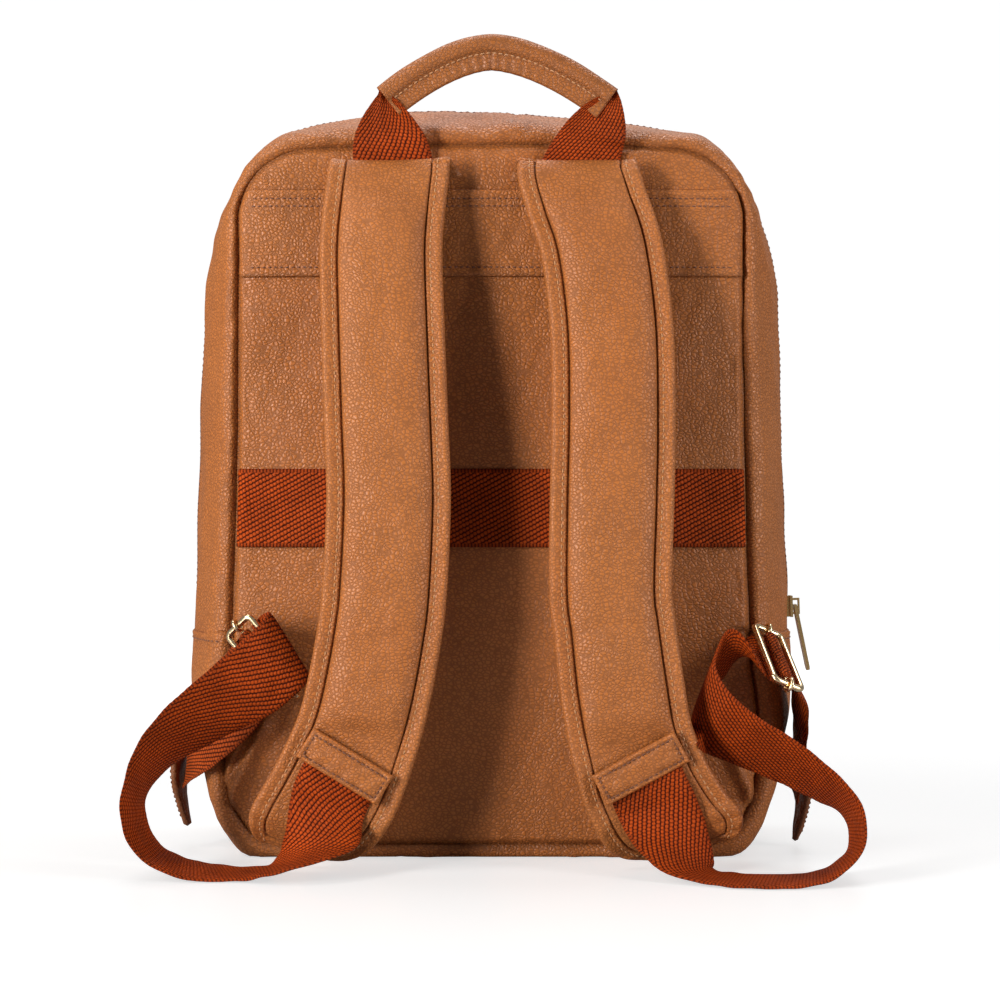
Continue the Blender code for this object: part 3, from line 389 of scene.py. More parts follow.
def skin(name, top, low, mat, uv=None, tone=None, wrap=False, pole=False, rim=0.42):
    """Closed sheet between two grids, with a rounded turned edge; pole closes the last row."""
    rows, cols = top.shape[:2]
    size = rows * cols
    verts = [top.reshape(-1, 3), low.reshape(-1, 3)]
    shade = np.zeros((rows, cols)) if tone is None else np.broadcast_to(tone, (rows, cols))
    tones = [shade.ravel(), shade.ravel() - 0.25]
    flat_uv = None if uv is None else [uv.reshape(-1, 2), uv.reshape(-1, 2)]
    faces = quads(rows, cols, 0, wrap) + quads(rows, cols, size, wrap)
    if wrap:
        loops = [[(0, c) for c in range(cols)]]
        if not pole:
            loops.append([(rows - 1, c) for c in range(cols)])
    else:
        there = [(0, c) for c in range(cols)] + [(r, cols - 1) for r in range(1, rows)]
        back = [(rows - 1, c) for c in range(cols - 2, -1, -1)] + [(r, 0) for r in range(rows - 2, 0, -1)]
        loops = [there + back]
    count = 2 * size
    for loop in loops:
        ring, m = [], len(loop)
        for r, c in loop:
            away = np.zeros(3)
            if r in (0, rows - 1):
                away = away + top[r, c] - top[1 if r == 0 else rows - 2, c]
            if not wrap and c in (0, cols - 1):
                away = away + top[r, c] - top[r, 1 if c == 0 else cols - 2]
            thick = np.linalg.norm(top[r, c] - low[r, c])
            ring.append((top[r, c] + low[r, c]) / 2 + unit(away) * thick * rim)
        verts.append(np.array(ring))
        tones.append(np.array([shade[r, c] - 0.15 for r, c in loop]))
        if uv is not None:
            flat_uv.append(np.array([uv[r, c] for r, c in loop]))
        for k in range(m):
            a, b = loop[k], loop[(k + 1) % m]
            ia, ib = a[0] * cols + a[1], b[0] * cols + b[1]
            faces.append((ia, ib, count + (k + 1) % m, count + k))
            faces.append((count + k, count + (k + 1) % m, size + ib, size + ia))
        count += m
    if pole:
        for s, grid in ((0, top), (size, low)):
            verts.append(grid[-1].mean(0)[None])
            tones.append(np.array([shade[-1].mean()]))
            base = s + (rows - 1) * cols
            faces += [(base + c, base + (c + 1) % cols, count) for c in range(cols)]
            if uv is not None:
                flat_uv.append(uv[-1].mean(0)[None])
            count += 1
    return mesh_object(name, np.vstack(verts), faces, mat, None if uv is None else np.vstack(flat_uv),
                       np.concatenate(tones))


def sweep(name, rings, mat, uv=None, tone=None, closed=False):
    """Closed tube through rings [station][corner]."""
    m, n = rings.shape[:2]
    verts, faces = rings.reshape(-1, 3), quads(m, n, 0, True)
    if closed:
        faces += [((m - 1) * n + c, (m - 1) * n + (c + 1) % n, (c + 1) % n, c) for c in range(n)]
        return mesh_object(name, verts, faces, mat, uv, tone)
    ends = np.array([rings[0].mean(0), rings[-1].mean(0)])
    for end, base in ((m * n, 0), (m * n + 1, (m - 1) * n)):
        faces += [(base + c, base + (c + 1) % n, end) for c in range(n)]
    if uv is not None:
        uv = np.vstack([uv, uv[:n].mean(0), uv[-n:].mean(0)])
    if tone is not None:
        tone = np.concatenate([tone, [tone[0], tone[-1]]])
    return mesh_object(name, np.vstack([verts, ends]), faces, mat, uv, tone)


def tube_rings(points, radius, sides, normal, closed=False):
    if closed:
        tangent = unit(np.roll(points, -1, 0) - np.roll(points, 1, 0))
    else:
        tangent = unit(np.gradient(points, axis=0))
    normal = np.broadcast_to(normal, points.shape)
    side = unit(np.cross(tangent, normal))
    up = np.cross(side, tangent)
    a = np.arange(sides) * 2 * PI / sides
    radius = np.broadcast_to(radius, len(points))[:, None, None]
    return (points[:, None] + radius * (side[:, None] * np.cos(a)[None, :, None]
                                        + up[:, None] * np.sin(a)[None, :, None]))


def copies(shape, rings, sides, places):
    """A closed shape of rings, repeated at each (centre, x axis, y axis, z axis)."""
    local = quads(rings, sides, 0, True)
    local += [tuple(range(sides)), tuple(range((rings - 1) * sides, rings * sides))]
    verts, faces = [], []
    for c, x, y, z in places:
        base = len(verts) * len(shape)
        verts.append(c + shape[:, :1] * x + shape[:, 1:2] * y + shape[:, 2:3] * z)
        faces += [tuple(base + k for k in f) for f in local]
    return np.vstack(verts), faces


def stitches(name, lines, mat="thread_dark", pitch=0.0034, size=0.0023, radius=0.00036, lift=0.00005):
    """Thread stitches along (points, normals) lines: capsules that dip into the leather at both ends."""
    shape = []
    for x, r, z in ((-0.5, 0.25, -1.0), (-0.36, 0.9, -0.2), (-0.12, 1.0, 0.35), (0.12, 1.0, 0.35),
                    (0.36, 0.9, -0.2), (0.5, 0.25, -1.0)):
        for k in range(6):
            ang = k * PI / 3
            shape.append((x * size, r * radius * math.cos(ang), r * radius * math.sin(ang) + z * radius))
    places = []
    for points, normal in lines:
        points, normal = np.asarray(points), np.asarray(normal)
        dist = length_along(points)
        count = max(int(dist[-1] / pitch), 1)
        at = (np.arange(count) + 0.5) * dist[-1] / count

        def read(values, where):
            return np.stack([np.interp(where, dist, values[:, k]) for k in range(3)], -1)
        centre, up = read(points, at), unit(read(normal, at))
        ahead, behind = np.minimum(at + 0.0006, dist[-1]), np.maximum(at - 0.0006, 0)
        along = unit(read(points, ahead) - read(points, behind))
        up = unit(up - along * np.sum(up * along, -1, keepdims=True))
        places += zip(centre + up * lift, along, np.cross(along, up), up)
    return mesh_object(name, *copies(np.array(shape), 6, 6, places), mat)


# ---- the bag's outer surface ----------------------------------------------------------------
def outline(k, u):
    u = np.asarray(u, float)
    seg = np.minimum(u.astype(int), 4)
    t = (u - seg)[..., None]
    a, b, d, e, f, c1, c2 = (np.array(k[n]) for n in ("a", "b", "d", "e", "f", "c1", "c2"))
    r, x = 1 - t, f[0] * (1 - t)
    parts = [np.concatenate([a[0] * t, a[1] + 0 * t], -1),
             a * r ** 3 + c1 * 3 * r * r * t + c2 * 3 * r * t * t + b * t ** 3,
             b + (d - b) * t + np.concatenate([k["belly"] * 4 * t * r, 0 * t], -1),
             e + (d - e) * (1 - np.sin(t * PI / 2)) + (f - e) * (1 - np.cos(t * PI / 2)),
             np.concatenate([x, k["top"] - (k["top"] - f[1]) * (x / f[0]) ** 2], -1)]
    out = parts[4]
    for i in range(4):
        out = np.where((seg == i)[..., None], parts[i], out)
    return out


def shell(u, ang):
    u, ang = np.broadcast_arrays(np.asarray(u, float), np.asarray(ang, float))
    side, v = np.where(u >= 0, 1.0, -1.0), np.abs(u)
    edge = np.where((ang < PI / 2)[..., None], outline(REAR, v), outline(FRONT, v))
    w, k = np.sin(ang), smooth(v - 1)
    w = np.minimum(1.0, w / 0.6) * (1 - k) + w * k
    p = edge + (outline(MID, v) - edge) * w[..., None]
    lean = TOP_LEAN * side * np.sin(PI * np.minimum(np.abs(p[..., 0]) / 0.118, 1.0)) * w * smooth(v - 3)
    return grid3(side * p[..., 0], -HALF_DEPTH * np.cos(ang), p[..., 1] - lean)


def over_u(w):
    """Signed u for a path that runs up the right side, over the top and down the left."""
    return np.where(w <= 5, w, w - 10)


def even(lo, hi, step, over=True, ang=PI / 2):
    w = np.linspace(lo, hi, 4000)
    pts = shell(over_u(w) if over else w, ang)
    dist = length_along(pts)
    count = int(dist[-1] / step)
    return np.interp(np.linspace(0, dist[-1], count + 1), dist, w)


def angle_at(y):
    return math.acos(max(-1.0, min(1.0, -y / HALF_DEPTH)))


def u_at(z):
    return 2.0 + (z - MID["b"][1]) / (MID["d"][1] - MID["b"][1])


HEM_U = u_at(HEM_Z)
CENTRE = np.array([0.0, 0.18])


class Panel:
    """Bulging panel inside a rear or front seam outline."""

    def __init__(self, k, y, bulge, side, power):
        self.k, self.y, self.bulge, self.side, self.power = k, y, bulge, side, power
        pts = outline(k, np.linspace(0, 5, 600))[::-1]
        self.ang = np.arctan2(pts[:, 0], pts[:, 1] - CENTRE[1])
        self.rad = np.hypot(pts[:, 0], pts[:, 1] - CENTRE[1])

    def reach(self, x, z):
        a = np.arctan2(np.abs(x), z - CENTRE[1])
        rim = np.interp(a, self.ang, self.rad)
        return np.hypot(x, z - CENTRE[1]) / rim, rim

    def height(self, x, z, roll=0.0026):
        """Outer face y, rolled down into the seam at the rim."""
        r, rim = self.reach(x, z)
        edge = np.clip((1 - r) * rim, 0, None)
        y = self.y + self.side * self.bulge * (1 - np.minimum(r, 1) ** self.power) ** 0.7
        return y - self.side * roll * (1 - smooth(edge / 0.0042)) ** 1.5

    def width(self, z):
        z = np.atleast_1d(z)
        xs = np.linspace(0, 0.16, 1200)
        inside = self.reach(xs[None], z[:, None])[0] < 1
        return xs[inside.sum(1) - 1]

    def disc(self, rings, step):
        """Points (x, z) as rings from the rim inwards."""
        u = over_u(even(0.0, 9.9999, step))
        rim = outline(self.k, np.abs(u)) * np.stack([np.sign(u + 1e-9), np.ones(len(u))], -1)
        reach = 1 - np.linspace(0, 1, rings) ** 1.6 * 0.985
        return CENTRE + (rim[None] - CENTRE) * reach[:, None, None]


BACK = Panel(REAR, -0.0605, 0.0045, -1, 4)
FRONT_P = Panel(FRONT, 0.0605, 0.0030, 1, 6)


def segment_distance(x, z, a, b):
    a, b = np.array(a), np.array(b)
    t = np.clip(((x - a[0]) * (b - a)[0] + (z - a[1]) * (b - a)[1]) / np.sum((b - a) ** 2), 0, 1)
    dx, dz = x - a[0] - t * (b - a)[0], z - a[1] - t * (b - a)[1]
    side = np.sign((b - a)[0] * dz - (b - a)[1] * dx)
    return np.hypot(dx, dz) * side, t


def pleats(x, z):
    """Tucked folds of the padded panel beside the lower corners."""
    lift = np.zeros(np.shape(x))
    for s, a, b, high in ((-1, (0.1090, 0.0760), (0.1325, 0.0225), 0.0052),
                          (-1, (0.1195, 0.0720), (0.1345, 0.0310), 0.0042),
                          (1, (0.1120, 0.0700), (0.1330, 0.0240), 0.0034)):
        d, t = segment_distance(np.abs(x), z, a, b)
        taper = smooth(t / 0.25) * smooth((1 - t) / 0.15) * (np.sign(x) == s)
        lift = lift + taper * high * (bell(d, 0.0034) - 0.55 * bell(d - 0.0052, 0.0016))
    return lift


def back_y(x, z):
    lift = pleats(x, z) + 0.00035 * ripple(x, z, 3, 0.05) + 0.00012 * ripple(x, z, 4, 0.014)
    r, rim = BACK.reach(x, z)
    pucker = bell((1 - r) * rim - 0.004, 0.005) * 0.00035 * ripple(x * 1.5, z * 1.5, 7, 0.017)
    return BACK.height(x, z) - lift - pucker


def front_y(x, z):
    return FRONT_P.height(x, z) + 0.0004 * ripple(x, z, 5, 0.06) + 0.00012 * ripple(x, z, 6, 0.015)


def build_back_pad():
    """The padded panel on the wearer's side."""
    rim = BACK.disc(60, 0.0026)
    x, z = rim[..., 0], rim[..., 1]
    top = grid3(x, back_y(x, z), z)
    low = grid3(x, BACK.height(x, z, 0.0) + 0.0052, z)
    r, radius = BACK.reach(x, z)
    # painted shade in the seam groove round the panel's rim
    tone = -0.38 * bell((1 - r) * radius, 0.0016)
    panel = skin("back_pad", top, low, "leather", tone=tone, wrap=True, pole=True)
    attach(panel, "bag")
    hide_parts("back_panel", "back_foam")


def build_back_lining():
    rim = CENTRE + (BACK.disc(14, 0.010) - CENTRE) * 0.955
    x, z = rim[..., 0], rim[..., 1]
    y = BACK.height(x, z, 0.0) + 0.0064 + 0.0003 * ripple(x, z, 12, 0.05)
    top, low = grid3(x, y, z), grid3(x, y + 0.0008, z)
    lining = skin("back_lining_cloth", top, low, "lining", wrap=True, pole=True)
    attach(lining, "bag")
    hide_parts("back_lining")


def build_upper_band():
    """Leather band across the top of the padded panel, with three rows of thread."""
    zs = np.concatenate([[BAND[0] - 0.0003], np.linspace(BAND[0], BAND[1], 34), [BAND[1] + 0.0003]])
    s = np.linspace(-1, 1, 150)
    x = BACK.width(zs)[:, None] * PANEL_FIT * s[None]
    z = np.broadcast_to(zs[:, None], x.shape)
    fold = 0.00055 * bell(z - BAND[0] - 0.0018, 0.0016) + 0.0007 * bell(z - BAND[1] + 0.0016, 0.0015)
    dip = sum(-0.0003 * bell(z - line, 0.0006) for line in BAND_STITCHES)
    y = back_y(x, z) - 0.0016 - fold - dip
    top = grid3(x, y, z)
    low = grid3(x, back_y(x, z) - 0.0001, z)
    # painted highlight along the raised top fold, painted shadow under the lower fold
    tone = 0.16 * bell(z - BAND[1] + 0.0006, 0.0011) - 0.25 * bell(z - BAND[0], 0.0009)
    band = skin("upper_band_leather", top, low, "leather", tone=tone)
    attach(band, "bag")
    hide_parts("upper_band")
    lines = []
    for line in BAND_STITCHES:
        k = int(np.argmin(abs(zs - line)))
        lines.append((top[k, 3:-3], repeat([0, -1, 0], len(s) - 6)))
    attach(stitches("upper_band_stitches", lines, pitch=0.0029, size=0.0021), "bag")


def build_trolley_webbing():
    """Webbing across the panel, for slipping the bag over a case's handle."""
    s = np.linspace(-1, 1, 220)
    zs = np.linspace(TROLLEY[0], TROLLEY[1], 22)
    x = BACK.width(zs)[:, None] * PANEL_FIT * s[None]
    z = np.broadcast_to(zs[:, None], x.shape)
    sag = 0.0005 + 0.0004 * ripple(x, z * 0.3, 9, 0.06)
    y = back_y(x, z) - 0.0014 - np.abs(sag)
    top, low = grid3(x, y, z), grid3(x, y + 0.0013, z)
    uv = np.stack([z - TROLLEY[0], x + 0.2], -1)
    tone = -0.15 * bell(z - TROLLEY[0], 0.0008) - 0.1 * bell(z - TROLLEY[1], 0.0008)
    strap = skin("trolley_webbing", top, low, "webbing", uv=uv, tone=tone)
    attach(strap, "bag")
    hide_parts("trolley_strap")


def gusset_grid(w, y0, y1, cols, over=True):
    ang = np.linspace(angle_at(y0), angle_at(y1), cols)
    u = over_u(w) if over else w
    return shell(u[:, None], ang[None])


def seam_distance(grid, end):
    d = np.linalg.norm(np.diff(grid, axis=1), axis=-1)
    zero = np.zeros((len(grid), 1))
    if end == 0:
        return np.concatenate([zero, np.cumsum(d, axis=1)], 1)
    return np.concatenate([np.cumsum(d[:, ::-1], axis=1)[:, ::-1], zero], 1)


def border(dist):
    """Rolled border beside a seam."""
    return (0.0026 * smooth(dist / 0.0038) * (1 - smooth((dist - 0.006) / 0.016))
            - 0.0010 * bell(dist, 0.0014))


def stuffed_gusset(name, y0, y1, cols, seam_end, node, seed):
    """Strip between zip and seam, from hem to hem over the top."""
    w = even(HEM_U - 0.03, 10 - HEM_U + 0.03, 0.0024)
    grid = gusset_grid(w, y0, y1, cols)
    dist = seam_distance(grid, seam_end)
    run = length_along(shell(over_u(w), PI / 2))[:, None]
    top_middle = bell(w[:, None] - 5.0, 0.30)
    corner = bell(w[:, None] - 3.5, 0.55) + bell(w[:, None] - 6.5, 0.55)
    puff = border(dist) + 0.0004 * ripple(run, dist * 1.5, seed, 0.05)
    puff = puff + smooth(dist / 0.012) * corner * 0.0003 * ripple(run, dist * 0.35, seed + 1, 0.016)
    puff = puff + bell(dist - 0.005, 0.006) * 0.0003 * ripple(run, dist, seed + 2, 0.013)
    puff = puff - top_middle * 0.0006 * np.abs(ripple(run, dist * 0.2, seed + 3, 0.012))
    zip_side = seam_distance(grid, 0 if seam_end else 1)
    puff = puff - 0.0002 * bell(zip_side - ZIP_STITCH, 0.0007) + 0.0005 * bell(zip_side - 0.0008, 0.0012)
    n = normals(grid)
    top = grid + n * puff[..., None]
    low = grid - n * 0.0020
    # painted shade in the seam groove and along the dipped row of stitches by the zip
    tone = SEAM_PAINTED_SHADE * bell(dist, 0.0013) - 0.06 * bell(zip_side - ZIP_STITCH, 0.0006)
    made = skin(name, top, low, "leather", tone=tone)
    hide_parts(node)
    col = int(np.argmin(abs(zip_side[len(w) // 3] - ZIP_STITCH)))
    return made, (top[12:-12, col], n[12:-12, col])


def settle(obj, rear):
    """Rear pieces ride the bag, and front ones are baked in place."""
    if rear:
        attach(obj, "bag")
    else:
        hinge(obj)


def build_gussets():
    rear, line = stuffed_gusset("gusset_rear_leather", -HALF_DEPTH, ZIP_Y - TAPE_EDGE, 34, 0,
                                "rear_gusset", 20)
    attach(rear, "bag")
    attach(stitches("gusset_rear_stitches", [line]), "bag")
    front, line = stuffed_gusset("gusset_front_leather", ZIP_Y + TAPE_EDGE, HALF_DEPTH, 40, 1,
                                 "front_gusset", 30)
    hinge(front)
    hinge(stitches("gusset_front_stitches", [line]))


def build_zip_tapes():
    for name, y0, y1, node in (("zip_tape_rear", ZIP_Y - 0.0082, ZIP_Y - 0.0008, "rear_zip_tape"),
                               ("zip_tape_front", ZIP_Y + 0.0008, ZIP_Y + 0.0082, "front_zip_tape")):
        w = even(HEM_U + 0.004, 10 - HEM_U - 0.004, 0.004)
        grid = gusset_grid(w, y0, y1, 7)
        n = normals(grid)
        run = np.arange(len(w))[:, None] * 0.0024
        lift = -0.0009 + 0.00015 * ripple(run, grid[..., 1] * 0, 41, 0.02)
        tape = skin(name, grid + n * lift[..., None], grid - n * 0.0016, "tape")
        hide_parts(node)
        settle(tape, "rear" in name)


def build_zip_teeth():
    for name, side, node in (("zip_teeth_rear", -1, "rear_zip_teeth"),
                             ("zip_teeth_front", 1, "front_zip_teeth")):
        w = even(HEM_U + 0.004, 10 - HEM_U - 0.004, 0.0013)
        w = w[0 if side < 0 else 1::2]
        u, ang = over_u(w), angle_at(ZIP_Y)
        p = shell(u, ang)
        n = unit(np.cross(np.gradient(p, axis=0), [0.0, 1.0, 0.0]))
        n = -n if np.sum(n * (p - [0, 0, 0.19])) < 0 else n
        along = unit(np.gradient(p, axis=0))
        across = np.cross(n, along)
        across = across * np.sign(across[:, 1:2]) * -side
        made = tooth_row(name, p - n * TOOTH_SINK, along, n, across, shoulder=-0.00121)
        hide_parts(node)
        settle(made, side < 0)


def build_gusset_linings():
    for name, y0, y1, cols in (("gusset_lining_rear", -0.0565, ZIP_Y - 0.0030, 9),
                               ("gusset_lining_front", ZIP_Y + 0.0030, 0.0565, 12)):
        w = even(HEM_U - 0.02, 10 - HEM_U + 0.02, 0.008)
        grid = gusset_grid(w, y0, y1, cols)
        n = normals(grid)
        run = np.arange(len(w))[:, None] * 0.008
        wave = 0.0004 * ripple(run, grid[..., 1], 44, 0.03)
        made = skin(name, grid - n * (0.0026 + wave)[..., None], grid - n * (0.0033 + wave)[..., None],
                    "lining")
        settle(made, "rear" in name)


def tooth_row(name, points, along, out, across, shoulder=-0.0012):
    """Moulded metal teeth: a foot on the tape, and a rounded head past the middle."""
    shape = []
    for a, half, lo, hi in ((-0.0022, 0.00034, 0.0, 0.0010), (shoulder, 0.00062, -0.0004, 0.0013),
                            (-0.0004, 0.00058, -0.0004, 0.0013), (0.0003, 0.00030, 0.0, 0.0009)):
        for h, v in ((-1, lo), (1, lo), (1, (lo + hi) / 2), (0.7, hi), (-0.7, hi), (-1, (lo + hi) / 2)):
            shape.append((h * half, a, v))
    places = zip(points, along, across, out)
    return mesh_object(name, *copies(np.array(shape), 4, 6, places), "teeth")


def hinge(obj):
    """Bakes the piece's placement into its mesh."""
    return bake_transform(obj)


def build_base():
    """One turned-up leather base: bottom and both lower sides, with stitched hems."""
    w = even(-HEM_U, HEM_U, 0.0026, over=False)
    grid = gusset_grid(w, -HALF_DEPTH, HALF_DEPTH, 56, over=False)
    rear, front = seam_distance(grid, 0), seam_distance(grid, 1)
    dist = np.minimum(rear, front)
    run = length_along(shell(w, PI / 2))[:, None]
    hem = np.minimum(run, run[-1] - run)
    lower = smooth((1.9 - np.abs(w[:, None])) / 0.6)
    puff = 0.0021 + border(dist) * 0.9 + 0.0004 * ripple(run, dist, 50, 0.04)
    puff = puff + 0.0008 * bell(hem - 0.0010, 0.0013) - 0.0004 * bell(hem - HEM_STITCH, 0.0006)
    puff = puff - 0.0009 * smooth(dist / 0.02) * (1 - smooth(hem / 0.05))
    puff = puff + lower * bell(dist - 0.008, 0.006) * 0.00035 * ripple(run, dist * 0.5, 51, 0.014)
    n = normals(grid)
    top = grid + n * puff[..., None]
    low = grid - n * 0.0018
    top[..., 2] = np.maximum(top[..., 2], 0.0003)
    low[..., 2] = np.maximum(low[..., 2], 0.0012)
    # painted shade in the seam groove and along the hem stitches, and a painted highlight on the raised lip
    # of the hem
    tone = SEAM_PAINTED_SHADE * bell(dist, 0.0013) - 0.1 * bell(hem - HEM_STITCH, 0.0006)
    tone = tone + 0.10 * bell(hem - 0.0008, 0.001)
    made = skin("base_leather", top, low, "leather", tone=tone)
    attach(made, "bag")
    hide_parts("side_panel_left", "side_panel_right", "bottom_panel")
    sewn = int(np.argmin(abs(hem[:len(w) // 2, 0] - HEM_STITCH)))
    lines = [(top[k, 3:-3], n[k, 3:-3]) for k in (sewn, len(w) - 1 - sewn)]
    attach(stitches("base_stitches", lines), "bag")
    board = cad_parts["base_board"]
    board.data.materials.clear()
    board.data.materials.append(M["board"])


def build_front_pad():
    """The far side's padded panel, with a slot cut for the pocket's zip."""
    rim = FRONT_P.disc(44, 0.0034)
    x, z = rim[..., 0], rim[..., 1]
    y = front_y(x, z)
    r, radius = FRONT_P.reach(x, z)
    depth = FRONT_P.height(x, z, 0.0) - 0.0020 - 0.0036 * smooth(1 - (1 - r) * radius / 0.0050)
    # painted shade in the seam groove round the panel's rim
    tone = -0.38 * bell((1 - r) * radius, 0.0016)
    panel = skin("front_pad", grid3(x, y, z), grid3(x, depth, z), "leather", tone=tone,
                 wrap=True, pole=True)
    cut = bpy.data.objects.new("cut", bpy.data.meshes.new("cut"))
    bpy.context.scene.collection.objects.link(cut)
    bm = bmesh.new()
    bmesh.ops.create_cube(bm, size=1.0)
    for v in bm.verts:
        v.co = (v.co.x * 2 * (POCKET_HALF - 0.0008), v.co.y * 0.06 + 0.066, v.co.z * POCKET_SLOT + POCKET_Z)
    bm.to_mesh(cut.data)
    bm.free()
    mod = panel.modifiers.new("slot", "BOOLEAN")
    mod.operation, mod.solver, mod.object = "DIFFERENCE", "MANIFOLD", cut
    graph = bpy.context.evaluated_depsgraph_get()
    mesh = bpy.data.meshes.new_from_object(panel.evaluated_get(graph))
    panel.modifiers.clear()
    panel.data = mesh
    bpy.data.objects.remove(cut)
    mesh.polygons.foreach_set("use_smooth", [True] * len(mesh.polygons))
    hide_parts("front_panel_upper", "front_panel_lower")
    hinge(panel)


def build_front_base():
    """Turned-up leather across the foot of the far side."""
    s = np.linspace(-1, 1, 90)
    topz = SPLIT_Z - 0.0006
    z = np.broadcast_to(np.linspace(0.0105, topz, 40)[:, None], (40, 90))
    x = FRONT_P.width(z[:, 0])[:, None] * 0.994 * s[None]
    fold = 0.0005 * bell(z - topz + 0.0016, 0.0016) - 0.0003 * bell(z - topz + FOLD_STITCH, 0.0007)
    y = front_y(x, z) + 0.0013 + fold
    top = grid3(x, y, z)
    low = grid3(x, front_y(x, z) - 0.0001, z)
    # painted highlight along the raised top fold
    tone = 0.1 * bell(z - topz, 0.0009)
    made = skin("front_base_leather", top, low, "leather", tone=tone)
    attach(made, "bag")
    k = int(np.argmin(abs(z[:, 0] - topz + FOLD_STITCH)))
    line = (top[k, 3:-3], repeat([0, 1, 0], 84))
    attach(stitches("front_base_stitches", [line]), "bag")


def build_pocket_stitches():
    """Thread round the pocket's zip."""
    ring, m = [], POCKET_HALF + 0.0020
    for cx, cz, dx, dz in ((-m, 1, 1, 0), (m, 1, 0, -1), (m, -1, -1, 0), (-m, -1, 0, 1)):
        for t in np.linspace(0, 1, 60, endpoint=False):
            ring.append((cx + dx * t * 2 * m, POCKET_Z + (cz + dz * t * 2) * POCKET_SLOT))
    ring = np.array(ring + [ring[0]])
    pts = grid3(ring[:, 0], front_y(ring[:, 0], ring[:, 1]) + 0.0001, ring[:, 1])
    hinge(stitches("pocket_stitches", [(pts, repeat([0, 1, 0], len(pts)))]))


def build_pocket_zip():
    for name, node in (("pocket_tape_top", "pocket_tape_upper"), ("pocket_tape_low", "pocket_tape_lower")):
        lo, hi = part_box(node)
        xs, zs = np.linspace(lo.x, hi.x, 60), np.linspace(lo.z - 0.0012, hi.z + 0.0012, 5)
        x, z = np.broadcast_arrays(xs[None], zs[:, None])
        y = lo.y + 0.0006 + 0.0001 * ripple(x, z, 61, 0.02)
        made = skin(name, grid3(x, y, z), grid3(x, y - 0.0008, z), "tape")
        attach(made, "front_flap")
        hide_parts(node)
    for side, node in ((1, "pocket_teeth_upper"), (-1, "pocket_teeth_lower")):
        lo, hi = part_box(node)
        xs = np.arange(lo.x + 0.001, hi.x - 0.001, 0.0026) + (0.0013 if side < 0 else 0)
        pts = grid3(xs, np.full(len(xs), lo.y + 0.0003), np.full(len(xs), POCKET_Z))
        along, out, across = (repeat(v, len(xs)) for v in ((1, 0, 0), (0, 1, 0), (0, 0, -side)))
        made = tooth_row("pocket_zip_teeth_" + ("top" if side > 0 else "low"), pts, along, out, across)
        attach(made, "front_flap")
        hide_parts(node)


def build_cloths():
    """The sleeve inside the back and the pocket's bag behind the far side."""
    for name, node, body in (("laptop_sleeve_cloth", "laptop_sleeve", "bag"),
                             ("pocket_bag_cloth", "pocket_bag", "front_flap")):
        lo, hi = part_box(node)
        s = np.linspace(-1, 1, 60)
        zs = np.linspace(lo.z, hi.z, 40)
        x = (lo.x + hi.x) / 2 + (hi.x - lo.x) / 2 * s[None] * np.ones((40, 1))
        z = np.broadcast_to(zs[:, None], x.shape)
        mid, half = (lo.y + hi.y) / 2, (hi.y - lo.y) / 2
        puff = half * (1 - np.abs(s) ** 6)[None] * smooth((z - lo.z) / 0.02) ** 0.5
        y = mid + puff * 0.9 + 0.0003 * ripple(x, z, 63, 0.04)
        back = np.full(x.shape, lo.y + 0.0006)
        made = skin(name, grid3(x, y, z), grid3(x, back, z), "lining")
        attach(made, body)
        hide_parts(node)


# ---- straps ---------------------------------------------------------------------------------
SIDEWAYS = (1.0, 0.0, 0.0)
STRAPS = {     # x, y, z and width in tenths of a millimetre, then the way across where it turns
    "left": [(-470, -668, 3350, 660), (-485, -668, 3405, 630), (-500, -715, 3455, 600),
             (-505, -762, 3400, 600), (-520, -795, 3260, 600), (-536, -865, 3011, 600),
             (-523, -940, 2615, 600), (-505, -1000, 2176, 600), (-491, -1040, 1790, 600),
             (-509, -1070, 1358, 600), (-534, -1070, 1146, 600), (-581, -1070, 888, 600, 1, 0, -0.03),
             (-630, -1072, 694, 600, 1, 0, -0.07), (-704, -1075, 496, 620, 0.99, -0.02, -0.12),
             (-772, -1060, 351, 630, 0.99, -0.03, -0.13), (-850, -1030, 233, 610, 0.99, -0.04, -0.11),
             (-914, -995, 168, 550, 0.99, -0.04, -0.11), (-962, -962, 130, 440, 0.99, -0.03, -0.12),
             (-990, -935, 108, 300, 0.99, 0.0, -0.12)],
    "right": [(412, -668, 3350, 640), (420, -668, 3405, 620), (430, -715, 3455, 600),
              (432, -765, 3395, 600), (470, -795, 3260, 600), (543, -865, 3011, 600),
              (588, -940, 2615, 600), (593, -1000, 2176, 600), (584, -1040, 1790, 600),
              (575, -1070, 1358, 590), (597, -1070, 1162, 590), (631, -1070, 888, 600),
              (667, -1072, 678, 600, 1, 0.01, 0.04), (723, -1075, 487, 620, 1, 0.02, 0.08),
              (778, -1060, 360, 640, 1, 0.03, 0.06), (851, -1030, 240, 650, 1, 0.04, 0.05),
              (925, -995, 175, 620, 1, 0.03, 0.05), (982, -962, 137, 510, 1, 0.02, 0.06),
              (1022, -935, 115, 360, 1, 0.0, 0.09)],
}


def strap_frames(side, count):
    """Arrays: point, across, normal, arc length, total, half width."""
    rows = [[x / 1e4, y / 1e4, z / 1e4, *unit(across or SIDEWAYS), w / 1e4]
            for x, y, z, w, *across in STRAPS[side]]
    data = spline(rows, count)
    pts = data[:, :3]
    run = length_along(pts)
    t = unit(np.vstack([pts[1:2] - pts[:1], pts[2:] - pts[:-2], pts[-1:] - pts[-2:-1]]))
    a = unit(data[:, 3:6])
    a = unit(a - t * np.sum(a * t, -1, keepdims=True) * 0.6)
    return pts, a, unit(np.cross(t, a)), run, run[-1], data[:, 6] / 2


def pad_rise(s, total):
    return PAD_RISE * smooth((s - 0.020) / 0.030) * smooth((total - s - 0.062) / 0.020)


def strap_blend(obj):
    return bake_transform(obj)


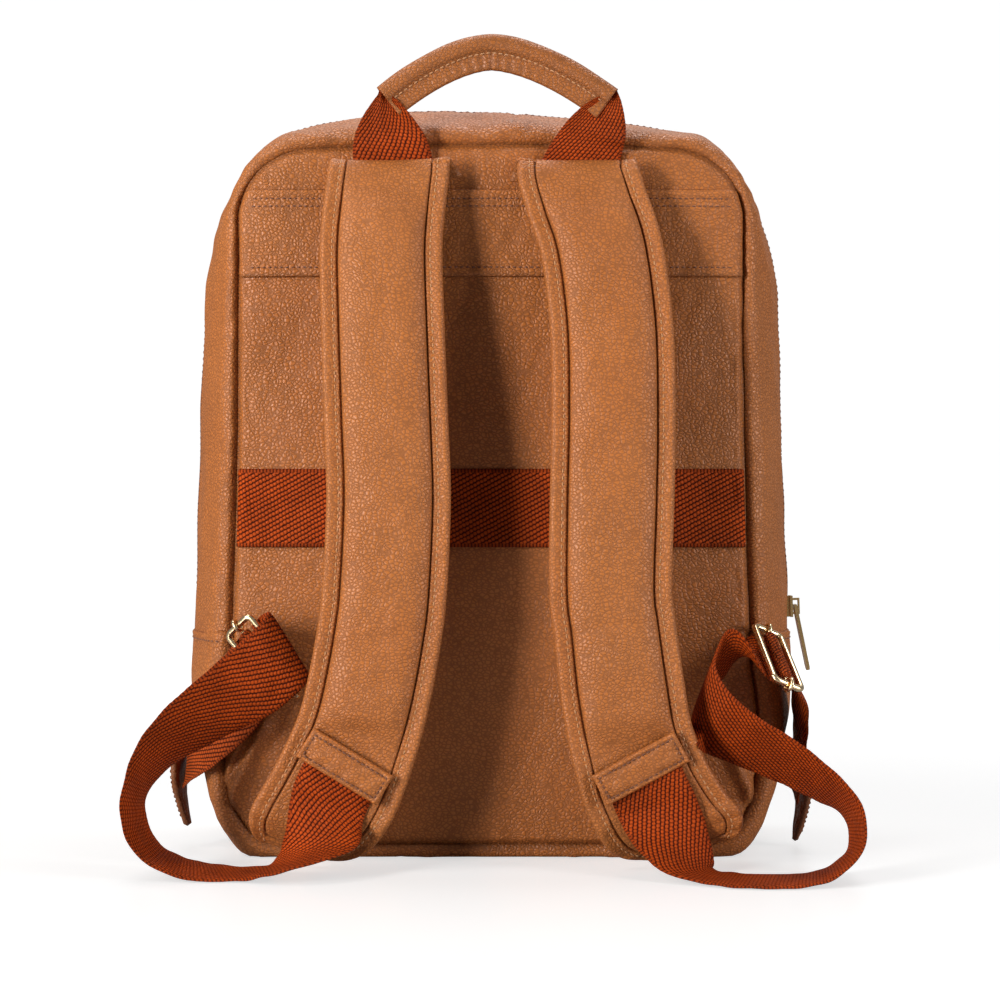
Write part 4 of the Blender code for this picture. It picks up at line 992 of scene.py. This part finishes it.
CREASES = {
    "left": ((0.030, 0.0004), (0.037, 0.0003), (0.262, 0.0003), (0.275, 0.0002)),
    "right": ((0.026, 0.0004), (0.102, 0.0004), (0.116, 0.0006), (0.131, 0.0005), (0.148, 0.0006),
              (0.163, 0.0004), (0.181, 0.0005), (0.232, 0.0005), (0.247, 0.0006), (0.262, 0.0004),
              (0.275, 0.0004)),
}


def build_strap(side):
    """Padded strap: a domed middle with pressed creases, a groove round it and a sewn border."""
    p, a, n, s, total, hw = strap_frames(side, 260)
    inner = np.concatenate([np.linspace(0.88, 0.75, 9), np.linspace(0.741, 0.666, 10),
                            np.linspace(0.64, 0.0, 17)])
    rounded = 1 - 0.12 * (1 - np.cos(np.linspace(0, PI / 2, 6)[:-1]))
    c = np.concatenate([-rounded, -inner, inner[::-1][1:], rounded[::-1]])
    x = hw[:, None] * c[None]
    run = s[:, None] + 0 * x
    edge = np.minimum(hw[:, None] - np.abs(x), (total - run) + 0.0045)
    half_pad = (hw - 0.0090)[:, None]
    inside = np.clip(np.abs(x) / half_pad, 0, 1)
    dome = (1 - inside ** 3.4) ** 0.62
    rise = pad_rise(run, total) * 1.08
    seed = 70 if side == "left" else 80
    flow = 0.00035 * ripple(x, run, seed, 0.045) + 0.00016 * ripple(x, run, seed + 1, 0.014)
    folds = np.zeros(x.shape)
    for k, (at, deep) in enumerate(CREASES[side]):
        bow = at + 0.05 * (x * (0.15 if k % 2 else -0.12)) + 0.0015 * np.sin(x * 120 + k * 2.1)
        folds = folds - deep * bell(run - bow, 0.0016) * (0.55 + 0.45 * np.sin(x * 70 + k * 1.7))
    lift = STRAP_HALF + rise * dome + (flow + folds) * smooth(rise / 0.003) * dome
    lift = lift + 0.00055 * bell(edge - 0.0022, 0.0018)
    lift = lift - 0.0013 * bell(edge - 0.0088, 0.00050) - 0.00025 * bell(edge - 0.0060, 0.0006)
    lift = lift + 0.00018 * ripple(x * 0.4, run, seed + 2, 0.02) * smooth(edge / 0.004)
    corner = 1 - np.sqrt(np.clip(1 - (1 - np.clip(edge / 0.0019, 0, 1)) ** 2, 0, 1))
    lift = lift - corner * 0.0018
    sink = -0.0019 + corner * 0.0016
    flat = (p[:, None] + a[:, None] * x[..., None])
    top, low = flat + n[:, None] * lift[..., None], flat + n[:, None] * sink[..., None]
    # painted shade in the groove round the pad, a darker outer edge, and a painted highlight on the rolled
    # border
    groove = -0.50 * bell(edge - 0.0088, 0.00040) - 0.12 * bell(edge, 0.0007)
    groove = groove + 0.06 * bell(edge - 0.0024, 0.0012)
    made = skin("strap_pad_" + side, top, low, "strap", tone=groove, rim=0.1)
    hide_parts("strap_face_" + side, "strap_backing_" + side, "strap_foam_" + side)
    strap_blend(made)
    lines = []
    for sign in (-1, 1):
        x = sign * (hw - 0.0060)
        pts, ups = [], []
        for i in range(6, len(s) - 4):
            h = float(np.interp(x[i], hw[i] * c, lift[i]))
            pts.append(p[i] + a[i] * x[i] + n[i] * h)
            ups.append(n[i])
        lines.append((pts, ups))
    sewn = stitches("strap_stitches_" + side, lines, "thread", pitch=0.0033, size=0.0024)
    strap_blend(sewn)


def strap_at(side, from_tip):
    p, a, n, s, total, _ = strap_frames(side, 400)
    i = int(np.argmin(abs(total - s - from_tip)))
    return p[i], a[i], n[i]


def build_patch(side):
    """Leather patch sewn over the end of the strap's webbing."""
    p, a, n = strap_at(side, 0.054)
    tilt = PATCH_TILT[side]
    ax = unit(a * math.cos(tilt) - np.cross(n, a) * math.sin(tilt))
    ay = unit(np.cross(n, ax))
    base = p + n * (STRAP_HALF + GAP + WEB_T + GAP + 0.0017)
    x, z = np.linspace(-PATCH_X, PATCH_X, 60), np.linspace(-PATCH_Z, PATCH_Z, 26)
    gx, gz = np.broadcast_arrays(x[:, None], z[None])
    edge = np.minimum(PATCH_X - abs(gx), PATCH_Z - abs(gz))
    droop = PATCH_BOW * gx ** 2
    corner = 1 - np.sqrt(np.clip(1 - (1 - np.clip(edge / 0.0011, 0, 1)) ** 2, 0, 1))
    lift = 0.0015 + 0.0003 * ripple(gx, gz, 90, 0.012) + 0.0005 * smooth((edge - 0.0025) / 0.003)
    lift = lift - 0.00035 * bell(edge - PATCH_INSET, 0.0006) - corner * 0.0011 - droop
    ring = base + ax * gx[..., None] + ay * gz[..., None]
    top, low = ring + n * lift[..., None], ring + n * (-0.0012 - droop)[..., None]
    # painted shade along the stitch groove and a painted highlight near the edge
    tone = -0.2 * bell(edge - PATCH_INSET, 0.0006) + 0.12 * bell(edge - 0.0006, 0.0006)
    made = skin("strap_patch_leather_" + side, top, low, "strap", tone=tone, rim=0.2)
    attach(made, "strap_" + side)
    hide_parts("strap_patch_" + side)
    pts = []
    for i0, i1, j0, j1 in ((-1, 1, -1, -1), (1, 1, -1, 1), (1, -1, 1, 1), (-1, -1, 1, -1)):
        for t in np.linspace(0, 1, 30, endpoint=False):
            pts.append((i0 + (i1 - i0) * t, j0 + (j1 - j0) * t))
    pts = np.array(pts + [pts[0]]) * (PATCH_X - PATCH_INSET, PATCH_Z - PATCH_INSET)
    line = base + ax * pts[:, :1] + ay * pts[:, 1:] + n * (0.0015 - PATCH_BOW * pts[:, :1] ** 2)
    sewn = stitches("strap_patch_stitches_" + side, [(line, repeat(n, len(line)))], pitch=0.0026,
                    size=0.0019)
    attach(sewn, "strap_" + side)


# ---- webbing --------------------------------------------------------------------------------
WEBS = {       # x in mm, y in tenths of a mm, z in mm, then the way across in hundredths
    "left": [(-74, -1125, 39, -97, 0, 25), (-77, -1135, 28, -98, 8, 17), (-81, -1180, 17, -91, 40, 12),
             (-92, -1240, 9, -52, 85, -5), (-105, -1230, 4, -24, 97, -6), (-123, -1180, 2, -36, 93, 4),
             (-146, -1160, 4, -15, 96, 12), (-164, -1120, 13, 8, 99, 6), (-171, -1110, 30, 15, 99, -3),
             (-168, -1090, 45, 20, 96, -22), (-159, -1060, 59, 33, 86, -39),
             (-145, -1020, 71, 39, 70, -60), (-129, -990, 82, 39, 52, -76),
             (-113, -965, 93, 46, 19, -87), (-102, -935, 103, 50, 5, -87), (-98, -895, 108, 52, 0, -85),
             (-100, -855, 108, 58, -4, -80)],
    "right": [(84, -1125, 27, -96, 0, -27), (86, -1135, 16, -97, -12, -22),
              (93, -1190, 7, -73, -68, -7), (102, -1260, 2, -27, -96, 0), (118, -1350, 1, -15, -99, 0),
              (142, -1360, 1, -10, -100, 0), (160, -1300, 4, -4, -100, 3), (172, -1230, 13, 5, -99, 14),
              (174, -1190, 23, 7, -98, 21), (171, -1150, 33, 9, -95, 29), (160, -1100, 42, 13, -88, 46),
              (143, -1060, 53, 13, -78, 61), (127, -1020, 61, 14, -71, 69),
              (110, -990, 71, 29, -56, 77), (103, -955, 82, 28, -44, 85), (106, -915, 94, 24, -50, 82),
              (115, -900, 103, 12, -70, 75)],
}
ADJUSTERS = {
    "left": dict(l=(0.66, -0.08, -0.745), r=(-0.67, 0.36, -0.65)),
    "right": dict(l=(0.149, -0.813, -0.562), r=(0.844, 0.399, -0.359)),
}


def adjuster_axes(side):
    lo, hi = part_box("adjuster_frame_" + side)
    k = ADJUSTERS[side]
    c, el = (np.array(lo) + np.array(hi)) / 2, unit(k["l"])
    r = np.array(k["r"])
    r = unit(r - el * np.dot(r, el))
    n = unit(np.cross(el, r))
    return c, el, r, (n if n[1] < 0 else -n)


def ribbon(name, rows, mat, front=None, floor=False, crease=None):
    """Webbing through rows of (centre, across, width): a closed ribbon with rounded selvedges."""
    knots = [[*c, *unit(a), w] for c, a, w in rows]
    total = length_along(spline(knots, 90)[:, :3])[-1]
    data = spline(knots, int(total / 0.0013))
    mid, a, w = data[:, :3], unit(data[:, 3:6]), data[:, 6]
    run = length_along(mid)
    tangent = unit(np.gradient(mid, axis=0))
    n = unit(np.cross(tangent, a))
    c = np.sin(np.linspace(-PI / 2, PI / 2, 19))
    half = WEB_T / 2 * np.sqrt(np.clip(1 - np.abs(c) ** 10, 0.02, 1))
    wobble = 1 + 0.006 * np.sin(run * 2 * PI / 0.0034)
    x = (w / 2 * wobble)[:, None] * c[None]
    bend = 0.0002 * ripple(x, run[:, None], 95, 0.02)
    if crease is not None:
        bend = bend + crease(c[None], (run / run[-1])[:, None])
    flat = mid[:, None] + a[:, None] * x[..., None] + n[:, None] * bend[..., None]
    top, low = flat + n[:, None] * half[None, :, None], flat - n[:, None] * half[None, :, None]
    if front is not None:
        push = np.maximum(top[..., 1], low[..., 1]) - front(flat[..., 0], flat[..., 2]) + GAP
        push = np.maximum(push, 0)
        top[..., 1] -= push
        low[..., 1] -= push
    if floor:
        rise = np.maximum(0.0004 - np.minimum(top[..., 2], low[..., 2]), 0)
        top[..., 2] += rise
        low[..., 2] += rise
    rings = np.concatenate([top, low[:, ::-1]], 1)
    u = (c + 1) / 2 * WEB_W
    uu = np.concatenate([u, u[::-1]])
    uv = np.stack(np.broadcast_arrays(uu[None], run[:, None]), -1).reshape(-1, 2)
    selvedge = -0.12 * np.abs(uu / WEB_W * 2 - 1) ** 12
    tone = np.tile(selvedge, len(rings))
    return sweep(name, rings, mat, uv=uv, tone=tone), float(run[-1])


def build_strap_webbing(side):
    """Webbing from under the patch, down to the floor and round to the adjuster."""
    rows = [((x / 1e3, y / 1e4, z / 1e3), a, WEB_W) for x, y, z, *a in WEBS[side]]
    p, a, n = strap_at(side, 0.052)
    tilt = PATCH_TILT[side]
    across = unit(-a * math.cos(tilt) + np.cross(n, a) * math.sin(tilt))
    rows[0] = (p + n * (STRAP_HALF + GAP + WEB_T / 2), across, WEB_W * 0.98)
    p, a, n = strap_at(side, 0.036)
    rows[1] = (p + n * (STRAP_HALF + GAP + WEB_T / 2 + 0.0004), across, WEB_W)
    c, el, r, normal = adjuster_axes(side)
    across = el if side == "left" else -el
    across = across if np.dot(across, rows[-1][1]) > 0 else -across
    rows.append((c - r * 0.0085 - normal * 0.0036, across, 0.0350))
    rows.append((c - r * 0.0030 - normal * 0.0043, across, 0.0340))
    q, _, _, s, total, _ = strap_frames(side, 400)
    keep = slice(230, None)
    heights, middles = q[keep, 2][::-1], q[keep, 0][::-1]
    fronts = (q[keep, 1] - 0.00310 - pad_rise(s[keep], total))[::-1]

    def front(x, z):
        beside = smooth((np.abs(x - np.interp(z, heights, middles)) - STRAP_W / 2) / 0.014)
        return np.interp(z, heights, fronts) + 0.06 * np.maximum(beside, smooth((z - 0.060) / 0.020))
    made, length = ribbon("strap_web_" + side, rows, "webbing", front=front, floor=True)
    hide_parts("strap_webbing_" + side)
    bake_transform(made)


TAB_WEBS = {   # x, y and z in tenths of a millimetre, then the way across
    "left": [(-1566, -220, 380, 0, 0.95, 0.30), (-1530, -420, 480, -0.15, 0.85, 0.50),
             (-1425, -590, 620, -0.35, 0.60, 0.72), (-1280, -690, 790, -0.52, 0.30, 0.80)],
    "right": [(1560, -220, 300, 0, 0.95, 0.30), (1560, -400, 500, 0, 0.85, 0.50),
              (1545, -560, 700, -0.10, 0.80, 0.58), (1525, -680, 860, -0.14, 0.81, 0.56)],
}


def build_tab(side):
    """Leather tab at the lower corner, and the webbing from it to the adjuster."""
    s = -1 if side == "left" else 1
    lo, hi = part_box("corner_tab_" + side)
    k = np.linspace(0, 1, 34)
    half = 0.0026 + 0.0176 * np.minimum(1.0, k / 0.72)
    c = np.linspace(-1, 1, 30)
    out_x = max(abs(lo.x), abs(hi.x))
    x = s * (out_x - 0.0040 * (1 - k))[:, None] + 0 * c[None]
    y, z = -0.022 + half[:, None] * c[None], (lo.z + (hi.z - lo.z) * k)[:, None] + 0 * c[None]
    ends = 0.003 + (hi.z - lo.z) * np.minimum(k, 1 - k)
    edge = np.minimum(half[:, None] * (1 - np.abs(c))[None], ends[:, None])
    swell = 0.0006 * smooth(edge / 0.004) - 0.0003 * bell(edge - 0.0028, 0.0006)
    swell = swell + 0.0002 * ripple(y, z, 98, 0.012)
    curl = s * 0.0015 * np.sin(k * PI)[:, None]
    top = grid3(x + s * swell + curl, y, z)
    low = grid3(x - s * (0.0030 + swell) + curl, y, z)
    made = skin("corner_tab_leather_" + side, top, low, "edge", tone=-0.25 * bell(edge, 0.0008), rim=0.35)
    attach(made, "bag")
    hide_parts("corner_tab_" + side)
    lines = []
    for sign in (-1, 1):
        yy = -0.022 + sign * np.clip(half - 0.0028, 0, None)
        line = grid3(x[:, 0] + s * 0.0007 + curl[:, 0], yy, z[:, 0])[3:-2]
        lines.append((line, repeat([s, 0, 0], 29)))
    sewn = stitches("corner_tab_stitches_" + side, lines, pitch=0.0030, size=0.0021, radius=0.00030,
                    lift=-0.0001)
    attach(sewn, "bag")
    ctr, el, r, n = adjuster_axes(side)
    rows = [((x / 1e4, y / 1e4, z / 1e4), a, WEB_W) for x, y, z, *a in TAB_WEBS[side]]
    rows.append((ctr + r * 0.0085 - n * 0.0036, -el, 0.0340))
    rows.append((ctr + r * 0.0030 - n * 0.0042, -el, 0.0330))
    made, length = ribbon("tab_web_" + side, rows, "webbing_back")
    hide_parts("tab_webbing_" + side)
    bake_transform(made)


def build_adjuster(side):
    """Wire frame with a middle rod, an eye at each end, and the webbing rolled round the rod."""
    c, el, r, n = adjuster_axes(side)
    body = "adjuster_" + side
    loop, rad = [], 0.0028
    for sx, sy, a0 in ((1, 1, 0), (-1, 1, 90), (-1, -1, 180), (1, -1, 270)):
        corner = c + el * sx * (FRAME_L / 2 - rad) + r * sy * (FRAME_S / 2 - rad)
        for k in range(9):
            ang = math.radians(a0 + k * 11.25)
            loop.append(corner + el * rad * math.cos(ang) + r * rad * math.sin(ang))
    wire = sweep("adjuster_wire_" + side, tube_rings(np.array(loop), WIRE_R, 16, n, True), "gold",
                 closed=True)
    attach(wire, body)
    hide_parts("adjuster_frame_" + side)
    ends = np.array([c + el * t for t in np.linspace(-0.0190, 0.0190, 12)])
    rod = sweep("adjuster_rod_" + side, tube_rings(ends, ROD_R, 14, n), "gold")
    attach(rod, body)
    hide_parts("adjuster_bar_" + side)
    for s, tag in ((-1, "a"), (1, "b")):
        hub = c + el * s * FRAME_L / 2
        ang = np.arange(28) * 2 * PI / 28
        ring = hub + (el * np.cos(ang)[:, None] + n * np.sin(ang)[:, None]) * EYE_R
        eye = sweep("adjuster_eye_%s_%s" % (side, tag), tube_rings(ring, 0.0010, 12, r, True), "gold",
                    closed=True)
        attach(eye, body)
    ang = np.linspace(0, 2 * PI, 40, endpoint=False)
    ts = np.linspace(-1, 1, 60)
    rib = 1 + 0.04 * np.sin(ts * 60)
    rings = []
    for t, q in zip(ts, rib):
        soft = ROLL_R * q * (1 - 0.12 * abs(t) ** 8)
        rings.append([c + el * t * 0.0170 + (n * math.cos(x) + r * math.sin(x)) * soft for x in ang])
    rings = np.array(rings)
    uv = np.stack(np.broadcast_arrays(((ts + 1) / 2 * WEB_W)[:, None], (ang * 0.0034)[None]), -1)
    uv = uv.reshape(-1, 2)
    wrap = sweep("adjuster_webbing_" + side, rings, "webbing_back", uv=uv)
    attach(wrap, body)
    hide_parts("adjuster_wrap_" + side)


# ---- handle ---------------------------------------------------------------------------------
HANDLE_WEBS = {     # left edge, right edge, z and y in tenths of a millimetre
    "left": [(-686, -300, 3345, -637), (-681, -288, 3445, -642), (-688, -300, 3530, -655),
             (-672, -335, 3615, -675), (-634, -392, 3695, -700), (-590, -447, 3755, -715),
             (-562, -490, 3785, -712), (-552, -500, 3815, -702)],
    "right": [(240, 630, 3345, -637), (239, 637, 3445, -642), (279, 656, 3530, -655),
              (330, 670, 3610, -675), (390, 663, 3685, -700), (467, 648, 3750, -715),
              (545, 634, 3785, -712), (580, 622, 3815, -702)],
}


def handle_path(count):
    x = np.linspace(-0.0535, 0.0600, count)
    z = HANDLE_TOP_Z - (HANDLE_TOP_Z - HANDLE_END_Z) * (np.abs(x) / np.where(x < 0, 0.0530, 0.0580)) ** 1.7
    return grid3(x, np.full(count, HANDLE_Y), z)


def build_handle():
    """Rolled leather grip: a round back over two flat flanges, pleated where the hand closes."""
    p = handle_path(150)
    t = unit(np.gradient(p, axis=0))
    y = np.array([0.0, 1.0, 0.0])
    up = unit(np.cross(t, y))
    up = up * np.sign(up[:, 2:3])
    run = length_along(p)
    m = 56
    rings, tones = [], []
    for i in range(len(p)):
        ring, tone = [], []
        mid = bell((run[i] - run[-1] * 0.47), 0.030)
        for k in range(m):
            q = k / m
            if q < 0.56:
                ang = PI * (-0.28 + 1.56 * q / 0.56)
                rr = HANDLE_R * (1 + 0.02 * math.sin(run[i] * 210 + 3 * ang))
                v = y * rr * math.cos(ang) + up[i] * rr * math.sin(ang)
                # painted shade where the round back meets the flanges
                tone.append(-0.22 * bell(min(q, 0.56 - q), 0.015))
            else:
                f = (q - 0.56) / 0.44
                side = -1 if f < 0.5 else 1
                g = 2 * f if f < 0.5 else 2 - 2 * f
                phase = run[i] * 2 * PI / PLEAT_PITCH
                wrinkle = 0.0005 * mid * math.sin(phase + 0.6 * math.sin(g * 4)) * math.sin(g * PI * 0.8)
                wide = 0.0020 + wrinkle - 0.0010 * smooth((g - 0.9) / 0.1)
                wide = wide + 0.0008 * (1 - smooth(g / 0.15))
                drop = HANDLE_R * 0.80 + 0.0092 * g
                v = y * side * wide - up[i] * drop
                # painted shade where the flanges leave the roll and in the valleys of the pleats
                tone.append(-0.15 * bell(g, 0.05) - 0.10 * mid * max(0.0, -math.sin(phase)))
            ring.append(p[i] + v)
        rings.append(ring)
        tones.append(tone)
    rings = np.array(rings)
    cap0 = rings[0] + (rings[0].mean(0) - rings[0]) * 0.25 + t[0] * 0.0006
    cap1 = rings[-1] + (rings[-1].mean(0) - rings[-1]) * 0.25 - t[-1] * 0.0006
    rings = np.concatenate([[cap0], rings, [cap1]])
    tones = np.array([tones[0]] + tones + [tones[-1]])
    grip = sweep("handle_leather", rings, "strap", tone=tones.ravel() - 0.17)
    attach(grip, "handle")
    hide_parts("handle_grip", "handle_core")
    lines = []
    for sign in (-1, 1):
        pts = p + y * sign * 0.0030 - up * HANDLE_R * 0.98
        pts = pts[3:-3]
        lines.append((pts, repeat([0, sign, 0], len(pts))))
    sewn = stitches("handle_stitches", lines, "thread", pitch=0.0030, size=0.0021, lift=-0.0004)
    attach(sewn, "handle")
    for side in SIDES:
        build_handle_webbing(side)


def build_handle_webbing(side):
    """Webbing from the back panel's top up to the handle's end, gathered and folded on its way."""
    rows = [(((a + b) / 2e4, y / 1e4, z / 1e4), SIDEWAYS, (b - a) / 1e4)
            for a, b, z, y in HANDLE_WEBS[side]]

    def crease(c, f):
        if side == "left":
            tuck = -0.0016 * smooth(f / 0.3) * bell(c - 0.25 + 0.75 * f, 0.22)
            return tuck - 0.0026 * smooth((f - 0.35) / 0.5) * (c ** 2 - 0.3)
        tuck = -0.0018 * bell(f - 0.56 + 0.10 * c, 0.045) * smooth((c + 0.5) / 0.6)
        return tuck - 0.0026 * smooth((f - 0.4) / 0.5) * (c ** 2 - 0.3)
    made, length = ribbon("handle_web_" + side, rows, "webbing", crease=crease)
    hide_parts("handle_webbing_" + side)
    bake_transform(made)


def finish_metal():
    """Carried-over metal pieces: softened edges and the satin gold."""
    for name in ("main_slider", "main_pull", "pocket_slider", "pocket_pull"):
        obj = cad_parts[name]
        obj.data.materials.clear()
        obj.data.materials.append(M["pull"])
        mod = obj.modifiers.new("soft", "BEVEL")
        mod.width, mod.segments, mod.limit_method, mod.angle_limit = 0.00028, 3, "ANGLE", math.radians(35)


# ---- stage ----------------------------------------------------------------------------------
def area(name, place, aim, size, power, color=(1, 1, 1)):
    data = bpy.data.lights.new(name, "AREA")
    data.shape, data.energy, data.color = "RECTANGLE", power, color
    data.size, data.size_y = size
    obj = bpy.data.objects.new(name, data)
    bpy.context.scene.collection.objects.link(obj)
    obj.location = place
    obj.rotation_mode = "QUATERNION"
    obj.rotation_quaternion = (Vector(aim) - Vector(place)).to_track_quat("-Z", "Y")


SKY_GLOSS, SKY_FILL = 0.21, 0.01
FLOOR_RADIUS = 1.6
AIM = (0, -0.06, 0.2)
WARM = (1.0, 0.985, 0.95)


def build_stage():
    scene = bpy.context.scene
    scene.view_settings.view_transform = "Standard"
    camera = bpy.data.objects.new("camera", bpy.data.cameras.new("camera"))
    scene.collection.objects.link(camera)
    camera.location = (0.0045, -1.21, 0.179)
    camera.rotation_euler = (PI / 2, 0, 0)
    camera.data.lens, camera.data.sensor_width = 82.8, 36.0
    scene.camera = camera
    world = bpy.data.worlds.new("studio")
    world.use_nodes = True
    scene.world = world
    tree = world.node_tree
    sky = tree.nodes["Background"]
    sky.inputs[0].default_value = (1.0, 1.0, 1.0, 1.0)
    seen = tree.nodes.new("ShaderNodeLightPath")
    level = tree.nodes.new("ShaderNodeMath")
    level.operation = "MULTIPLY_ADD"
    level.inputs[1].default_value, level.inputs[2].default_value = SKY_GLOSS, SKY_FILL
    tree.links.new(seen.outputs["Is Glossy Ray"], level.inputs[0])
    total = tree.nodes.new("ShaderNodeMath")
    tree.links.new(level.outputs[0], total.inputs[0])
    tree.links.new(seen.outputs["Is Camera Ray"], total.inputs[1])
    tree.links.new(total.outputs[0], sky.inputs[1])
    g = Graph("floor_white", 0.35, Specular_IOR_Level=0.4)
    g.shader.inputs["Emission Color"].default_value = (1, 1, 1, 1)
    place = g.object()
    far = g.node("VectorMath", {0: place}, operation="LENGTH").outputs["Value"]
    seen = g.node("LightPath").outputs["Is Camera Ray"]
    g.put(g.shader.inputs["Emission Strength"], g.mul(g.ramp(far, 0.25, 1.3, 0.62, 1.0), seen))
    shade = g.ramp(g.noise(place, 3.0, 2.0), 0.3, 0.7, 0.42, 0.44)
    floor_mat = g.finish(g.scaled((1.0, 1.0, 1.0), shade))
    mesh = bpy.data.meshes.new("floor")
    turns = [k * PI / 48 for k in range(96)]
    ring = [(FLOOR_RADIUS * math.cos(a), FLOOR_RADIUS * math.sin(a), 0) for a in turns]
    mesh.from_pydata(ring, [], [tuple(range(96))])
    mesh.materials.append(floor_mat)
    floor = bpy.data.objects.new("floor", mesh)
    scene.collection.objects.link(floor)
    area("key", (-1.05, -1.12, 0.41), AIM, (0.35, 0.6), 20, WARM)
    area("key_high", (-1.05, -0.63, 1.12), AIM, (0.4, 0.7), 7, WARM)
    area("side", (1.31, -0.77, 0.41), AIM, (0.35, 0.6), 10)
    area("side_high", (1.05, -0.63, 1.12), AIM, (0.4, 0.7), 2)
    area("top", (0, 0.30, 1.4), (0, 0.0, 0.25), (1.2, 0.5), 12)
    area("far", (0.3, 1.5, 1.2), (0, 0.0, 0.15), (1.6, 1.0), 4)


build_stage()
build_back_pad()
build_back_lining()
build_upper_band()
build_trolley_webbing()
build_gussets()
build_zip_tapes()
build_zip_teeth()
build_gusset_linings()
build_base()
build_front_pad()
build_front_base()
build_pocket_stitches()
build_pocket_zip()
build_cloths()
for side in SIDES:
    build_strap(side)
    build_patch(side)
    build_strap_webbing(side)
    build_tab(side)
    build_adjuster(side)
build_handle()
finish_metal()
